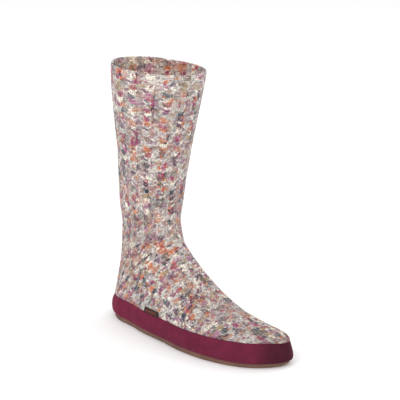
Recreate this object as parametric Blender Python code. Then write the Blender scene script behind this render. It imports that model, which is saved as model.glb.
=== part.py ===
"""Slipper sock for the right foot: a knitted shaft and foot, a suede band, a footbed and an outsole.

Units are metres. +X runs from heel to toe, +Y to the inner side of the foot, +Z up. The origin is on the
ground under the middle of the heel. Every piece is worked out from the same three tables: the outline of the
sole, the line of the instep and the sections of the shaft.
"""
import math

import bmesh
import bpy
import numpy as np

# Driving sizes of the sole
SOLE_LENGTH = 0.2525
BALL_WIDTH = 0.079
HEEL_ROUND = 0.0375
TOE_ROUND = 0.0455
OUTSOLE_THICKNESS = 0.005
OUTSOLE_INSET = 0.0016
OUTSOLE_EDGE = 0.0012
TOE_SPRING = 0.0014
SPRING_START = 0.90
ARCH_RELIEF = 0.0008
ARCH_START = 0.30
ARCH_END = 0.56
FOOTBED_THICKNESS = 0.006
FOOTBED_EDGE = 0.0015

# Driving sizes of the band round the sole
BAND_HEIGHT = 0.028
BAND_WALL = 0.0020
BAND_BULGE = 0.0020
BAND_SAG = 0.66
BAND_PROUD = 0.0004
MARGIN_WIDTH = 0.010
MARGIN_THICKNESS = 0.0016

# Driving sizes of the knitted upper
KNIT_WALL = 0.0026
COLLAR_HEIGHT = 0.297
COLLAR_DEPTH = 0.1064
COLLAR_WIDTH = 0.104
COLLAR_TILT = math.radians(3.4)
COLLAR_LEAN = math.radians(3.6)
INSTEP_HEIGHT = 0.1065
RIM_ROUND = 0.0012
CROWN_POWER = 1.65
ANKLE_BLEND = 0.0224

# Driving sizes of the side label
LABEL_WIDTH = 0.024
LABEL_HEIGHT = 0.0058
LABEL_THICKNESS = 0.0010
LABEL_PLACE = 0.096
LABEL_GAP = 0.00045

FIT_GAP = 0.0003
KNIT_GAP = 0.0006
FOOTBED_GAP = 0.0008
HEEL_REST = 0.0385

# Outline of the sole, heel to toe. The ends are rounded off by HEEL_ROUND and TOE_ROUND.
# share: place along SOLE_LENGTH. half: half width, centre: shift to the inner side, both of BALL_WIDTH.
OUTLINE = {
    "share": (0.00, 0.10, 0.20, 0.31, 0.44, 0.57, 0.68, 0.775, 0.855, 0.92, 0.96, 1.00),
    "half": (0.387, 0.387, 0.395, 0.425, 0.444, 0.485, 0.500, 0.464, 0.408, 0.385, 0.367, 0.358),
    "centre": (-0.003, -0.005, -0.015, -0.046, -0.058, -0.054, -0.025, -0.001, 0.032, 0.090, 0.142, 0.195),
}

# Top line of the knit on the foot. share: place along SOLE_LENGTH.
# height: over the band, of the instep's height over the band.
INSTEP = {
    "share": (0.00, 0.16, 0.28, 0.33, 0.38, 0.48, 0.60, 0.72, 0.84, 0.925, 1.00),
    "height": (0.539, 1.204, 1.325, 1.204, 1.014, 0.735, 0.445, 0.204, 0.121, 0.127, 0.040),
}

# Sections of the knitted shaft. level: of COLLAR_HEIGHT. centre: of SOLE_LENGTH.
# Half depth is foot_depth of SOLE_LENGTH and collar_depth of COLLAR_DEPTH together.
# Half width is foot_width of BALL_WIDTH and collar_width of COLLAR_WIDTH together.
SHAFT = {
    "level": (0.00, 0.10, 0.20, 0.32, 0.44, 0.56, 0.675, 0.84, 0.94, 1.01),
    "centre": (0.152, 0.155, 0.184, 0.210, 0.208, 0.216, 0.228, 0.245, 0.2565, 0.266),
    "foot_depth": (0.1390, 0.1425, 0.1374, 0.072, 0.0, 0.0, 0.0, 0.0, 0.0, 0.0),
    "collar_depth": (0.0, 0.0, 0.0, 0.170, 0.347, 0.373, 0.398, 0.451, 0.481, 0.498),
    "foot_width": (0.342, 0.351, 0.3645, 0.198, 0.0, 0.0, 0.0, 0.0, 0.0, 0.0),
    "collar_width": (0.0, 0.0, 0.0, 0.150, 0.305, 0.343, 0.379, 0.447, 0.4875, 0.505),
}

# Levels, from the ground up
BAND_FOOT = OUTSOLE_THICKNESS + FIT_GAP
KNIT_FOOT = BAND_FOOT + MARGIN_THICKNESS + FIT_GAP
KNIT_INSET = BAND_WALL - BAND_PROUD + KNIT_GAP
LINING_INSET = KNIT_INSET + KNIT_WALL

# Line before the instep about which the sections turn from level to upright
BEND_PLACE = 0.812 * SOLE_LENGTH
BEND_LEVEL = 0.673 * COLLAR_HEIGHT

# Numbers of sections and of points round them
STATIONS = 46
SHAFT_RINGS = 8
FAN_RINGS = 26
TOE_RINGS = 10
RING_POINTS = 44
LABEL_COLUMNS = 7
BAND_ROWS = 7

# Where the middle point of a rounded edge lies, as a share of the edge's radius
ROUND_SHARE = 1.0 - math.sqrt(0.5)

# Fineness of the search for the form's surface along a ray
SEARCH_STEPS = 400
HALVINGS = 24
LOWEST_CROWN = 0.001
SHARPEST_BLEND = 0.000001


def read_table(table, key, column, at):
    """Read a column of a table at the given places, on a smooth curve that never overshoots its rows."""
    places = np.array(table[key], dtype=float)
    values = np.array(table[column], dtype=float)
    steps = np.diff(places)
    slopes = np.diff(values) / steps
    tangents = np.zeros(len(places))
    rising = slopes[:-1] * slopes[1:] > 0.0
    before = 2.0 * steps[1:] + steps[:-1]
    after = steps[1:] + 2.0 * steps[:-1]
    safe_first = np.where(rising, slopes[:-1], 1.0)
    safe_second = np.where(rising, slopes[1:], 1.0)
    mean = (before + after) / (before / safe_first + after / safe_second)
    tangents[1:-1] = np.where(rising, mean, 0.0)
    tangents[0] = slopes[0]
    tangents[-1] = slopes[-1]
    at = np.clip(np.asarray(at, dtype=float), places[0], places[-1])
    row = np.clip(np.searchsorted(places, at, side="right") - 1, 0, len(steps) - 1)
    width = steps[row]
    part = (at - places[row]) / width
    rest = 1.0 - part
    return (values[row] * rest * rest * (1.0 + 2.0 * part)
            + values[row + 1] * part * part * (3.0 - 2.0 * part)
            + tangents[row] * width * part * rest * rest
            - tangents[row + 1] * width * part * part * rest)


def sole_half(x, inset):
    """Half width of the sole's outline before its ends are rounded."""
    return read_table(OUTLINE, "share", "half", x / SOLE_LENGTH) * BALL_WIDTH - inset


def sole_centre(x):
    """Middle of the outline, which swings to the inner side at the toe."""
    return read_table(OUTLINE, "share", "centre", x / SOLE_LENGTH) * BALL_WIDTH


def end_rounding(x, inset):
    """One along the sole, falling to zero at its two rounded ends."""
    heel = np.clip((HEEL_ROUND - x) / (HEEL_ROUND - inset), 0.0, None)
    toe = np.clip((x - (SOLE_LENGTH - TOE_ROUND)) / (TOE_ROUND - inset), 0.0, None)
    return 1.0 - heel ** 2 - toe ** 2


def shaft_half(side, foot_size, collar_size, level):
    """Half depth or half width of the shaft at a level, partly from the foot and partly from the collar."""
    foot = read_table(SHAFT, "level", "foot_" + side, level) * foot_size
    return foot + read_table(SHAFT, "level", "collar_" + side, level) * collar_size


def width_squared(x, z, inset):
    """Square of the form's half width at a place of its side view: foot and shaft, blended at the ankle."""
    depth_in = inset - KNIT_INSET
    above = np.clip(z - BAND_HEIGHT, 0.0, None)
    crown = read_table(INSTEP, "share", "height", x / SOLE_LENGTH) * (INSTEP_HEIGHT - BAND_HEIGHT) - depth_in
    rise = above / np.maximum(crown, LOWEST_CROWN)
    foot = sole_half(x, inset) ** 2 * (end_rounding(x, inset) - rise ** CROWN_POWER)
    level = z / COLLAR_HEIGHT
    width = shaft_half("width", BALL_WIDTH, COLLAR_WIDTH, level) - depth_in
    depth = shaft_half("depth", SOLE_LENGTH, COLLAR_DEPTH, level) - depth_in
    middle = read_table(SHAFT, "level", "centre", level) * SOLE_LENGTH
    shaft = width ** 2 * (1.0 - ((x - middle) / depth) ** 2)
    reach = (ANKLE_BLEND * np.clip(above / (INSTEP_HEIGHT / 2.0), 0.0, 1.0)) ** 2 + SHARPEST_BLEND ** 2
    mix = np.clip(0.5 + 0.5 * (foot - shaft) / reach, 0.0, 1.0)
    return shaft * (1.0 - mix) + foot * mix + reach * mix * (1.0 - mix)


def form_centre(x, z):
    """Middle of the form across: the sole's centre low down, the straight shaft higher up."""
    part = np.clip((z - BAND_HEIGHT) / (INSTEP_HEIGHT - BAND_HEIGHT / 2.0), 0.0, 1.0)
    return sole_centre(x) * (1.0 - part * part * (3.0 - 2.0 * part))


def inside(x, y, z, inset, floor):
    """Positive inside the form, negative outside it or below its floor."""
    value = width_squared(x, z, inset) - (y - form_centre(x, z)) ** 2
    return np.where(z < floor, -1.0, value)


def cast_ring(centre_x, centre_z, front, half_depth, inset, floor, lean=0.0):
    """Points where rays in one plane, from the plane's centre, leave the form.

    front is the plane's direction (x, z) toward the toe and lean its fall toward the inner side. The rays
    spread like those of an ellipse as deep as half_depth and as wide as the form.
    """
    turn = np.linspace(0.0, 2.0 * math.pi, RING_POINTS, endpoint=False)
    half_width = math.sqrt(float(width_squared(centre_x, centre_z, inset)))
    spread = np.hypot(np.cos(turn) * half_depth, np.sin(turn) * half_width)
    ahead = np.cos(turn) * half_depth / spread
    inward = np.sin(turn) * half_width / spread
    rise = ahead * front[1] - inward * math.sin(lean)
    ray = np.stack([ahead * front[0], inward * math.cos(lean), rise], axis=1)
    start = np.array([centre_x, float(form_centre(centre_x, centre_z)), centre_z])
    reach = np.linspace(0.0, SOLE_LENGTH, SEARCH_STEPS)
    path = start + reach[:, None, None] * ray[None, :, :]
    outside = inside(path[..., 0], path[..., 1], path[..., 2], inset, floor) < 0.0
    first = outside.argmax(axis=0)
    near = reach[first - 1]
    far = reach[first]
    for _ in range(HALVINGS):
        half = 0.5 * (near + far)
        point = start + half[:, None] * ray
        within = inside(point[:, 0], point[:, 1], point[:, 2], inset, floor) >= 0.0
        near = np.where(within, half, near)
        far = np.where(within, far, half)
    return start + (0.5 * (near + far))[:, None] * ray


def shaft_rings(inset, floor, top):
    """Sections of the shaft, from the tilted collar down to the level planes above the ankle."""
    rings = []
    for share in np.linspace(1.0, 0.0, SHAFT_RINGS, endpoint=False):
        level = BEND_LEVEL + share * (top - BEND_LEVEL)
        middle = float(read_table(SHAFT, "level", "centre", level / COLLAR_HEIGHT)) * SOLE_LENGTH
        tilt = COLLAR_TILT * share
        front = (math.cos(tilt), -math.sin(tilt))
        depth = float(shaft_half("depth", SOLE_LENGTH, COLLAR_DEPTH, level / COLLAR_HEIGHT))
        rings.append(cast_ring(middle, level, front, depth, inset, floor, COLLAR_LEAN * share))
    return rings


def fan_rings(inset, floor):
    """Sections round the bend from shaft to foot, in planes that turn about a point before the instep."""
    rings = []
    reach = np.linspace(FIT_GAP, SOLE_LENGTH + INSTEP_HEIGHT, 2 * SEARCH_STEPS)
    for turn in np.linspace(0.0, math.pi / 2.0, FAN_RINGS, endpoint=False):
        back_x = -math.cos(turn)
        back_z = -math.sin(turn)
        along_x = BEND_PLACE + reach * back_x
        along_z = BEND_LEVEL + reach * back_z
        filled = reach[(width_squared(along_x, along_z, inset) > 0.0) & (along_z > floor)]
        middle = 0.5 * (filled[0] + filled[-1])
        rings.append(cast_ring(BEND_PLACE + middle * back_x, BEND_LEVEL + middle * back_z,
                               (-back_x, -back_z), 0.5 * (filled[-1] - filled[0]), inset, floor))
    return rings


def toe_rings(inset, floor):
    """Upright sections of the forefoot, closer together where the toe rounds off."""
    rings = []
    levels = np.linspace(0.0, INSTEP_HEIGHT, SEARCH_STEPS)
    tip = SOLE_LENGTH - inset - FIT_GAP
    for turn in np.linspace(0.0, math.pi / 2.0, TOE_RINGS):
        x = BEND_PLACE + (tip - BEND_PLACE) * math.sin(turn)
        filled = levels[width_squared(np.full_like(levels, x), levels, inset) > 0.0]
        middle = 0.5 * (floor + filled[-1])
        rings.append(cast_ring(x, middle, (0.0, 1.0), filled[-1] - middle, inset, floor))
    return rings


def form_rings(inset, floor, top):
    """All sections of the form, from the collar over the heel to the toe."""
    return shaft_rings(inset, floor, top) + fan_rings(inset, floor) + toe_rings(inset, floor)


def paint(obj, name, colour, roughness):
    """Give an object its own material."""
    material = bpy.data.materials.new(name)
    material.use_nodes = True
    shader = material.node_tree.nodes["Principled BSDF"]
    shader.inputs["Base Color"].default_value = (*colour, 1.0)
    shader.inputs["Roughness"].default_value = roughness
    shader.inputs["Metallic"].default_value = 0.0
    obj.data.materials.append(material)


def add_mesh(name, points, faces):
    """Make an object from points and faces, with its faces turned outward and its round sides smooth."""
    mesh = bpy.data.meshes.new(name)
    mesh.from_pydata([tuple(map(float, point)) for point in points], [], faces)
    body = bmesh.new()
    body.from_mesh(mesh)
    bmesh.ops.recalc_face_normals(body, faces=body.faces)
    body.to_mesh(mesh)
    body.free()
    mesh.shade_smooth()
    mesh.set_sharp_from_angle(angle=math.radians(40.0))
    obj = bpy.data.objects.new(name, mesh)
    bpy.context.scene.collection.objects.link(obj)
    return obj


def bridge(first, second, count):
    """Quads between two rings of the same count, given by the index of their first points."""
    return [(first + i, first + (i + 1) % count, second + (i + 1) % count, second + i) for i in range(count)]


def keep_above(obj, level):
    """Open the underside of an object with a level cut."""
    bpy.ops.mesh.primitive_cube_add(size=1.0)
    cutter = bpy.context.object
    cutter.name = obj.name + "_cutter"
    cutter.scale = (2.0 * SOLE_LENGTH, 4.0 * BALL_WIDTH, COLLAR_HEIGHT)
    cutter.location = (SOLE_LENGTH / 2.0, 0.0, level - COLLAR_HEIGHT / 2.0)
    cutter.hide_render = True
    cutter.display_type = "WIRE"
    cut = obj.modifiers.new("open underside", "BOOLEAN")
    cut.operation = "DIFFERENCE"
    cut.solver = "EXACT"
    cut.object = cutter


def make_knit_upper():
    """The knitted sock: outer and inner form joined by a rounded collar edge, open underneath."""
    drop = BAND_HEIGHT
    outer = form_rings(KNIT_INSET, KNIT_FOOT - drop, COLLAR_HEIGHT - RIM_ROUND)
    inner = form_rings(LINING_INSET, KNIT_FOOT - drop + KNIT_WALL, COLLAR_HEIGHT - RIM_ROUND)
    rim = 0.5 * (outer[0] + inner[0]) + np.array([0.0, 0.0, RIM_ROUND])
    rings = outer[::-1] + [rim] + inner
    points = np.concatenate(rings)
    faces = []
    for index in range(len(rings) - 1):
        faces += bridge(index * RING_POINTS, (index + 1) * RING_POINTS, RING_POINTS)
    last = (len(rings) - 1) * RING_POINTS
    faces.append(tuple(range(RING_POINTS)))
    faces.append(tuple(last + i for i in range(RING_POINTS)))
    upper = add_mesh("knit_upper", points, faces)
    keep_above(upper, KNIT_FOOT)
    paint(upper, "marled knit", (0.45, 0.34, 0.32), 0.95)


def outline_ring(inset):
    """Points of the sole's outline at an inset, up the outer side and back down the inner side."""
    share = 0.5 - 0.5 * np.cos(np.linspace(0.0, math.pi, STATIONS))
    x = inset + share * (SOLE_LENGTH - 2.0 * inset)
    half = sole_half(x, inset) * np.sqrt(np.clip(end_rounding(x, inset), 0.0, None))
    outer_side = np.stack([x, sole_centre(x) - half], axis=1)
    inner_side = np.stack([x, sole_centre(x) + half], axis=1)
    return np.concatenate([outer_side, inner_side[-2:0:-1]])


def cap_faces(first):
    """Faces that close an outline ring with strips between its two sides."""
    count = 2 * STATIONS - 2
    faces = [(first, first + 1, first + count - 1)]
    for i in range(1, STATIONS - 2):
        faces.append((first + i, first + i + 1, first + count - i - 1, first + count - i))
    faces.append((first + STATIONS - 2, first + STATIONS - 1, first + STATIONS))
    return faces


def outline_solid(name, profile):
    """A solid swept round the sole's outline through rows of (inset, level, lift), closed at both ends.

    lift is the share of the underside's rise that a row follows.
    """
    count = 2 * STATIONS - 2
    points = []
    faces = []
    for row, (inset, level, lift) in enumerate(profile):
        ring = outline_ring(inset)
        points.append(np.column_stack([ring, level + lift * ground_rise(ring[:, 0])]))
        if row > 0:
            faces += bridge((row - 1) * count, row * count, count)
    faces += cap_faces(0)
    faces += cap_faces((len(profile) - 1) * count)
    return add_mesh(name, np.concatenate(points), faces)


def ground_rise(x):
    """Rise of the sole's underside from the ground: toe spring and a slight arch."""
    share = x / SOLE_LENGTH
    toe = np.clip((share - SPRING_START) / (1.0 - SPRING_START), 0.0, 1.0) ** 2
    arch = np.sin(np.clip((share - ARCH_START) / (ARCH_END - ARCH_START), 0.0, 1.0) * math.pi) ** 2
    return TOE_SPRING * toe + ARCH_RELIEF * arch


def make_outsole():
    """The thin brown sole: flat under heel and forefoot, its lower edge rounded."""
    bend = ROUND_SHARE * OUTSOLE_EDGE
    profile = (
        (OUTSOLE_INSET + OUTSOLE_EDGE, 0.0, 1.0),
        (OUTSOLE_INSET + bend, bend, 1.0),
        (OUTSOLE_INSET, OUTSOLE_EDGE, 1.0),
        (OUTSOLE_INSET, OUTSOLE_THICKNESS, 0.0),
    )
    outsole = outline_solid("outsole", profile)
    paint(outsole, "brown outsole", (0.16, 0.075, 0.065), 0.8)


def make_footbed():
    """The padded insole on which the foot stands, inside the knit."""
    inset = LINING_INSET + FOOTBED_GAP
    top = KNIT_FOOT + FOOTBED_THICKNESS
    bend = ROUND_SHARE * FOOTBED_EDGE
    profile = (
        (inset, KNIT_FOOT, 0.0),
        (inset, top - FOOTBED_EDGE, 0.0),
        (inset + bend, top - bend, 0.0),
        (inset + FOOTBED_EDGE, top, 0.0),
    )
    footbed = outline_solid("footbed", profile)
    paint(footbed, "footbed cloth", (0.30, 0.24, 0.23), 0.95)


def make_sole_wrap():
    """The suede band: a padded wall round the knit, turned under the foot as a lasting margin."""
    back = KNIT_INSET - KNIT_GAP
    margin_top = BAND_FOOT + MARGIN_THICKNESS
    profile = [(back, margin_top), (back, BAND_HEIGHT)]
    for share in np.linspace(1.0, 0.0, BAND_ROWS):
        swell = BAND_BULGE * math.sin(math.pi * share ** BAND_SAG)
        profile.append((-BAND_PROUD - swell, BAND_FOOT + share * (BAND_HEIGHT - BAND_FOOT)))
    profile.append((BAND_WALL + MARGIN_WIDTH, BAND_FOOT))
    profile.append((BAND_WALL + MARGIN_WIDTH, margin_top))
    count = 2 * STATIONS - 2
    points = []
    faces = []
    for row, (inset, level) in enumerate(profile):
        ring = outline_ring(inset)
        points.append(np.column_stack([ring, np.full(count, level)]))
        faces += bridge(row * count, (row + 1) % len(profile) * count, count)
    band = add_mesh("sole_wrap", np.concatenate(points), faces)
    paint(band, "plum suede", (0.17, 0.025, 0.05), 0.85)


def make_side_label():
    """The folded woven label on the outer side, lying on the knit just above the band."""
    places = LABEL_PLACE + np.linspace(-0.5, 0.5, LABEL_COLUMNS) * LABEL_WIDTH
    low = BAND_HEIGHT + FIT_GAP
    points = []
    for level, out in ((low, 0.0), (low + LABEL_HEIGHT, 0.0), (low + LABEL_HEIGHT, 1.0), (low, 1.0)):
        half = np.sqrt(width_squared(places, np.full_like(places, level), KNIT_INSET))
        side = form_centre(places, level) - half - LABEL_GAP - out * LABEL_THICKNESS
        points.append(np.column_stack([places, side, np.full(LABEL_COLUMNS, level)]))
    faces = []
    for row in range(4):
        first = row * LABEL_COLUMNS
        second = (row + 1) % 4 * LABEL_COLUMNS
        for i in range(LABEL_COLUMNS - 1):
            faces.append((first + i, first + i + 1, second + i + 1, second + i))
    faces.append(tuple(row * LABEL_COLUMNS for row in range(4)))
    faces.append(tuple(row * LABEL_COLUMNS + LABEL_COLUMNS - 1 for row in range(4)))
    label = add_mesh("side_label", np.concatenate(points), faces)
    paint(label, "woven label", (0.02, 0.016, 0.014), 0.8)


def place_origin():
    """Move every piece so that the origin lies under the middle of the heel."""
    for obj in bpy.context.scene.objects:
        obj.location.x -= HEEL_REST


def main():
    """Clear the scene and build the pieces."""
    for obj in list(bpy.data.objects):
        bpy.data.objects.remove(obj, do_unlink=True)
    make_outsole()
    make_sole_wrap()
    make_footbed()
    make_knit_upper()
    make_side_label()
    place_origin()


main()
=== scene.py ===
"""Looks of the slipper sock: a marled knit tube on a suede band, with a woven label and a rubber sole.

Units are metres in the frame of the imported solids: +X from heel to toe, +Y to the inner side, +Z up.
"""

import logging
import math
from collections.abc import Callable
from dataclasses import dataclass, field
from enum import Enum

import bpy
import numpy as np
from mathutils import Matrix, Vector


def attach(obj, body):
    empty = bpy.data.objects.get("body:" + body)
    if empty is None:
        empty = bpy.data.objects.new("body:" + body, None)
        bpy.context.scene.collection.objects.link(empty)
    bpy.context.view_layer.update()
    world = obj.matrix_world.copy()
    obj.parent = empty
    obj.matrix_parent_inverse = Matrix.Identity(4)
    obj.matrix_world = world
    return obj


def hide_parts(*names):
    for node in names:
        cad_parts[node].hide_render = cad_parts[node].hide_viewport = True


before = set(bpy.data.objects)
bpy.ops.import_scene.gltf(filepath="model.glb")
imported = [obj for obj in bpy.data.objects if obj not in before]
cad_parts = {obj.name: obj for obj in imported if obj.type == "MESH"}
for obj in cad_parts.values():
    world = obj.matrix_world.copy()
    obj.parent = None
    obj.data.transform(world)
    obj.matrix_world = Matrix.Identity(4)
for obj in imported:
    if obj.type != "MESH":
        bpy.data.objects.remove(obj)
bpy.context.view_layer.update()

log = logging.getLogger("slipper_sock")

Column = tuple[float, ...]
Table = dict[str, Column]
Colour = tuple[int, int, int]
Stops = tuple[tuple[float, Colour], ...]
Along = float | Callable[[np.ndarray], np.ndarray]

# Outline of the sole, heel to toe, in shares of its length and of the ball's width
OUTLINE: Table = {
    "share": (0.00, 0.10, 0.20, 0.31, 0.44, 0.57, 0.68, 0.775, 0.855, 0.92, 0.96, 1.00),
    "half": (0.387, 0.387, 0.395, 0.425, 0.444, 0.485, 0.500, 0.464, 0.408, 0.385, 0.367, 0.358),
    "centre": (-0.003, -0.005, -0.015, -0.046, -0.058, -0.054, -0.025, -0.001, 0.032, 0.090, 0.142,
               0.195),
}

# Top line of the knit on the foot, in shares of the sole's length and of the instep's height over the band
INSTEP: Table = {
    "share": (0.00, 0.16, 0.28, 0.33, 0.38, 0.48, 0.60, 0.72, 0.84, 0.925, 1.00),
    "height": (0.539, 1.204, 1.325, 1.204, 1.014, 0.735, 0.445, 0.204, 0.121, 0.127, 0.040),
}

# Sections of the shaft by level, in shares of foot and collar sizes
SHAFT: Table = {
    "level": (0.00, 0.10, 0.20, 0.32, 0.44, 0.56, 0.675, 0.84, 0.94, 1.01),
    "centre": (0.152, 0.155, 0.184, 0.210, 0.208, 0.216, 0.228, 0.245, 0.2565, 0.266),
    "foot_depth": (0.1390, 0.1425, 0.1374, 0.072, 0.0, 0.0, 0.0, 0.0, 0.0, 0.0),
    "collar_depth": (0.0, 0.0, 0.0, 0.170, 0.347, 0.373, 0.398, 0.451, 0.481, 0.498),
    "foot_width": (0.342, 0.351, 0.3645, 0.198, 0.0, 0.0, 0.0, 0.0, 0.0, 0.0),
    "collar_width": (0.0, 0.0, 0.0, 0.150, 0.305, 0.343, 0.379, 0.447, 0.4875, 0.505),
}


def hermite(places: np.ndarray, values: np.ndarray, slopes: np.ndarray,
            at: np.ndarray) -> np.ndarray:
    """Read a curve of values with given slopes at any places.

    Args:
        places: Rising places of the known rows.
        values: Rows of values, the first axis going with places.
        slopes: Slopes at those rows, of the same shape as values.
        at: Places to read, of one axis.

    Returns:
        The values at the places, of shape (len(at), ...).
    """
    row = np.clip(np.searchsorted(places, at, side="right") - 1, 0, len(places) - 2)
    width = places[row + 1] - places[row]
    part = (at - places[row]) / width
    shape = (-1,) + (1,) * (values.ndim - 1)
    part, width = part.reshape(shape), width.reshape(shape)
    rest = 1.0 - part
    return (values[row] * rest * rest * (1.0 + 2.0 * part)
            + values[row + 1] * part * part * (3.0 - 2.0 * part)
            + slopes[row] * width * part * rest * rest
            - slopes[row + 1] * width * part * part * rest)


def smooth_read(places: np.ndarray, values: np.ndarray, at: np.ndarray) -> np.ndarray:
    """Read rows of points on a smooth curve through them, whatever the spacing of their places."""
    return hermite(places, values, np.gradient(values, places, axis=0), at)


def soft_step(value: np.ndarray, start: float, end: float) -> np.ndarray:
    """Zero at start, one at end, with a soft rise or fall between them."""
    part = np.clip((value - start) / (end - start), 0.0, 1.0)
    return part * part * (3.0 - 2.0 * part)


def read_table(table: Table, key: str, column: str, at: np.ndarray) -> np.ndarray:
    """Read a column of a table on a smooth curve that never overshoots its rows, as the solids do.

    Args:
        table: The table to read.
        key: Name of the column of places.
        column: Name of the column of values.
        at: Places to read, of any shape.

    Returns:
        The values, of the shape of at.
    """
    places = np.array(table[key])
    values = np.array(table[column])
    steps = np.diff(places)
    slopes = np.diff(values) / steps
    rising = slopes[:-1] * slopes[1:] > 0.0
    before = 2.0 * steps[1:] + steps[:-1]
    after = steps[1:] + 2.0 * steps[:-1]
    first = np.where(rising, slopes[:-1], 1.0)
    second = np.where(rising, slopes[1:], 1.0)
    mean = (before + after) / (before / first + after / second)
    tangents = np.concatenate([slopes[:1], np.where(rising, mean, 0.0), slopes[-1:]])
    wanted = np.clip(np.asarray(at, dtype=float), places[0], places[-1])
    return hermite(places, values, tangents, wanted.ravel()).reshape(wanted.shape)


@dataclass(frozen=True)
class Last:
    """The form of the sock, with the sizes and formulas of the solids. x counts from the heel's end."""

    # Sizes of the solids
    sole_length: float = 0.2525
    ball_width: float = 0.079
    heel_round: float = 0.0375
    toe_round: float = 0.0455
    band_height: float = 0.028
    band_wall: float = 0.0020
    band_proud: float = 0.0004
    knit_gap: float = 0.0006
    knit_wall: float = 0.0026
    knit_foot: float = 0.0072
    collar_height: float = 0.297
    collar_depth: float = 0.1064
    collar_width: float = 0.104
    collar_tilt: float = math.radians(3.4)
    collar_lean: float = math.radians(3.6)
    instep_height: float = 0.1065
    rim_round: float = 0.0012
    crown_power: float = 1.65
    ankle_blend: float = 0.0224
    heel_rest: float = 0.0385
    # Where the sections turn, and the least sizes that keep divisions safe
    bend_share: float = 0.812
    bend_level_share: float = 0.673
    lowest_crown: float = 0.001
    sharpest_blend: float = 1e-6
    # The knit's soft swell over the band's top edge
    puff: float = 0.0018
    puff_top: float = 0.0095
    puff_foot: float = 0.0008
    puff_power: int = 4
    puff_less: float = 0.5
    # The dip of the band's top edge under the big toe
    toe_drop: float = 0.0026
    toe_swell: float = 0.15
    big_toe: float = math.radians(46.0)
    dip_facing: tuple[float, float] = (0.35, 0.96)
    dip_span: tuple[float, float] = (0.205, 0.232)
    # Where heel and toe begin, and where they are reached in full
    heel_span: tuple[float, float] = (0.030, 0.004)
    toe_span: tuple[float, float] = (0.205, 0.2525)
    # The band's foot and the underside of the sole
    band_foot: float = 0.0053
    foot_lift: float = 0.0014
    lift_span: tuple[float, float] = (0.236, 0.160)
    toe_spring: float = 0.0014
    spring_start: float = 0.90
    arch_relief: float = 0.0008
    arch_span: tuple[float, float] = (0.30, 0.56)

    @property
    def knit_inset(self) -> float:
        """Inset of the knit's outer face from the sole's outline."""
        return self.band_wall - self.band_proud + self.knit_gap

    @property
    def bend(self) -> tuple[float, float]:
        """The line before the instep about which the sections turn, as (x, z)."""
        return self.bend_share * self.sole_length, self.bend_level_share * self.collar_height

    def half(self, x: np.ndarray, inset: float) -> np.ndarray:
        """Half width of the sole's outline before its ends are rounded."""
        return read_table(OUTLINE, "share", "half", x / self.sole_length) * self.ball_width - inset

    def centre(self, x: np.ndarray) -> np.ndarray:
        """Middle of the sole's outline."""
        return read_table(OUTLINE, "share", "centre", x / self.sole_length) * self.ball_width

    def end_rounding(self, x: np.ndarray, inset: float) -> np.ndarray:
        """One along the sole, falling to zero at its two rounded ends.

        Args:
            x: Places along the sole.
            inset: Inset from the outline.

        Returns:
            Shares of the squared half width.
        """
        heel = np.clip((self.heel_round - x) / (self.heel_round - inset), 0.0, None)
        toe = np.clip((x - (self.sole_length - self.toe_round)) / (self.toe_round - inset), 0.0, None)
        return 1.0 - heel ** 2 - toe ** 2

    def ground_rise(self, x: np.ndarray) -> np.ndarray:
        """Rise of the sole's underside from the ground.

        Args:
            x: Places along the sole.

        Returns:
            Levels over the ground.
        """
        share = x / self.sole_length
        toe = np.clip((share - self.spring_start) / (1.0 - self.spring_start), 0.0, 1.0) ** 2
        start, end = self.arch_span
        arch = np.sin(np.clip((share - start) / (end - start), 0.0, 1.0) * math.pi) ** 2
        return self.toe_spring * toe + self.arch_relief * arch

    def outline_ring(self, inset: float, stations: int) -> tuple[np.ndarray, np.ndarray]:
        """The sole's outline at an inset, from heel to toe on the outer side and back on the inner side.

        Args:
            inset: Inset from the outline.
            stations: Points on both sides together, with the two ends counted twice.

        Returns:
            Points (x, y), and minus or plus one on the outer or inner side.
        """
        half_count = stations // 2
        share = 0.5 - 0.5 * np.cos(np.linspace(0.0, math.pi, half_count))
        x = inset + share * (self.sole_length - 2.0 * inset)
        half = self.half(x, inset) * np.sqrt(np.clip(self.end_rounding(x, inset), 0.0, None))
        outer = np.stack([x, self.centre(x) - half], axis=1)
        inner = np.stack([x, self.centre(x) + half], axis=1)
        side = np.concatenate([-np.ones(half_count), np.ones(half_count - 2)])
        return np.concatenate([outer, inner[-2:0:-1]]), side

    def push_out(self, ring: np.ndarray, amount: np.ndarray) -> np.ndarray:
        """Move points (x, y) away from the middle line of the sole."""
        way = self.outward(ring[:, 0], ring[:, 1])[0]
        return ring + way * np.broadcast_to(amount, len(ring))[:, None]

    def rim_level(self, x: np.ndarray, y: np.ndarray) -> np.ndarray:
        """Level of the band's top edge, which dips a little under the big toe."""
        return self.band_height - self.toe_drop * self.outward(x, y)[2]

    def foot_level(self, x: np.ndarray) -> np.ndarray:
        """Level at which the band ends over the rubber, a little higher from heel to arch."""
        return self.band_foot + self.foot_lift * soft_step(x, *self.lift_span)

    def shaft_half(self, side: str, level: np.ndarray) -> np.ndarray:
        """Half depth or half width of the shaft at a level, in metres.

        Args:
            side: "depth" or "width".
            level: Levels, in shares of the collar's height.

        Returns:
            Lengths in metres.
        """
        foot, collar = {"depth": (self.sole_length, self.collar_depth),
                        "width": (self.ball_width, self.collar_width)}[side]
        return (read_table(SHAFT, "level", "foot_" + side, level) * foot
                + read_table(SHAFT, "level", "collar_" + side, level) * collar)

    def shaft_middle(self, level: np.ndarray) -> np.ndarray:
        """Place of the shaft's middle along the sole, at a level."""
        return read_table(SHAFT, "level", "centre", level) * self.sole_length

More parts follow.
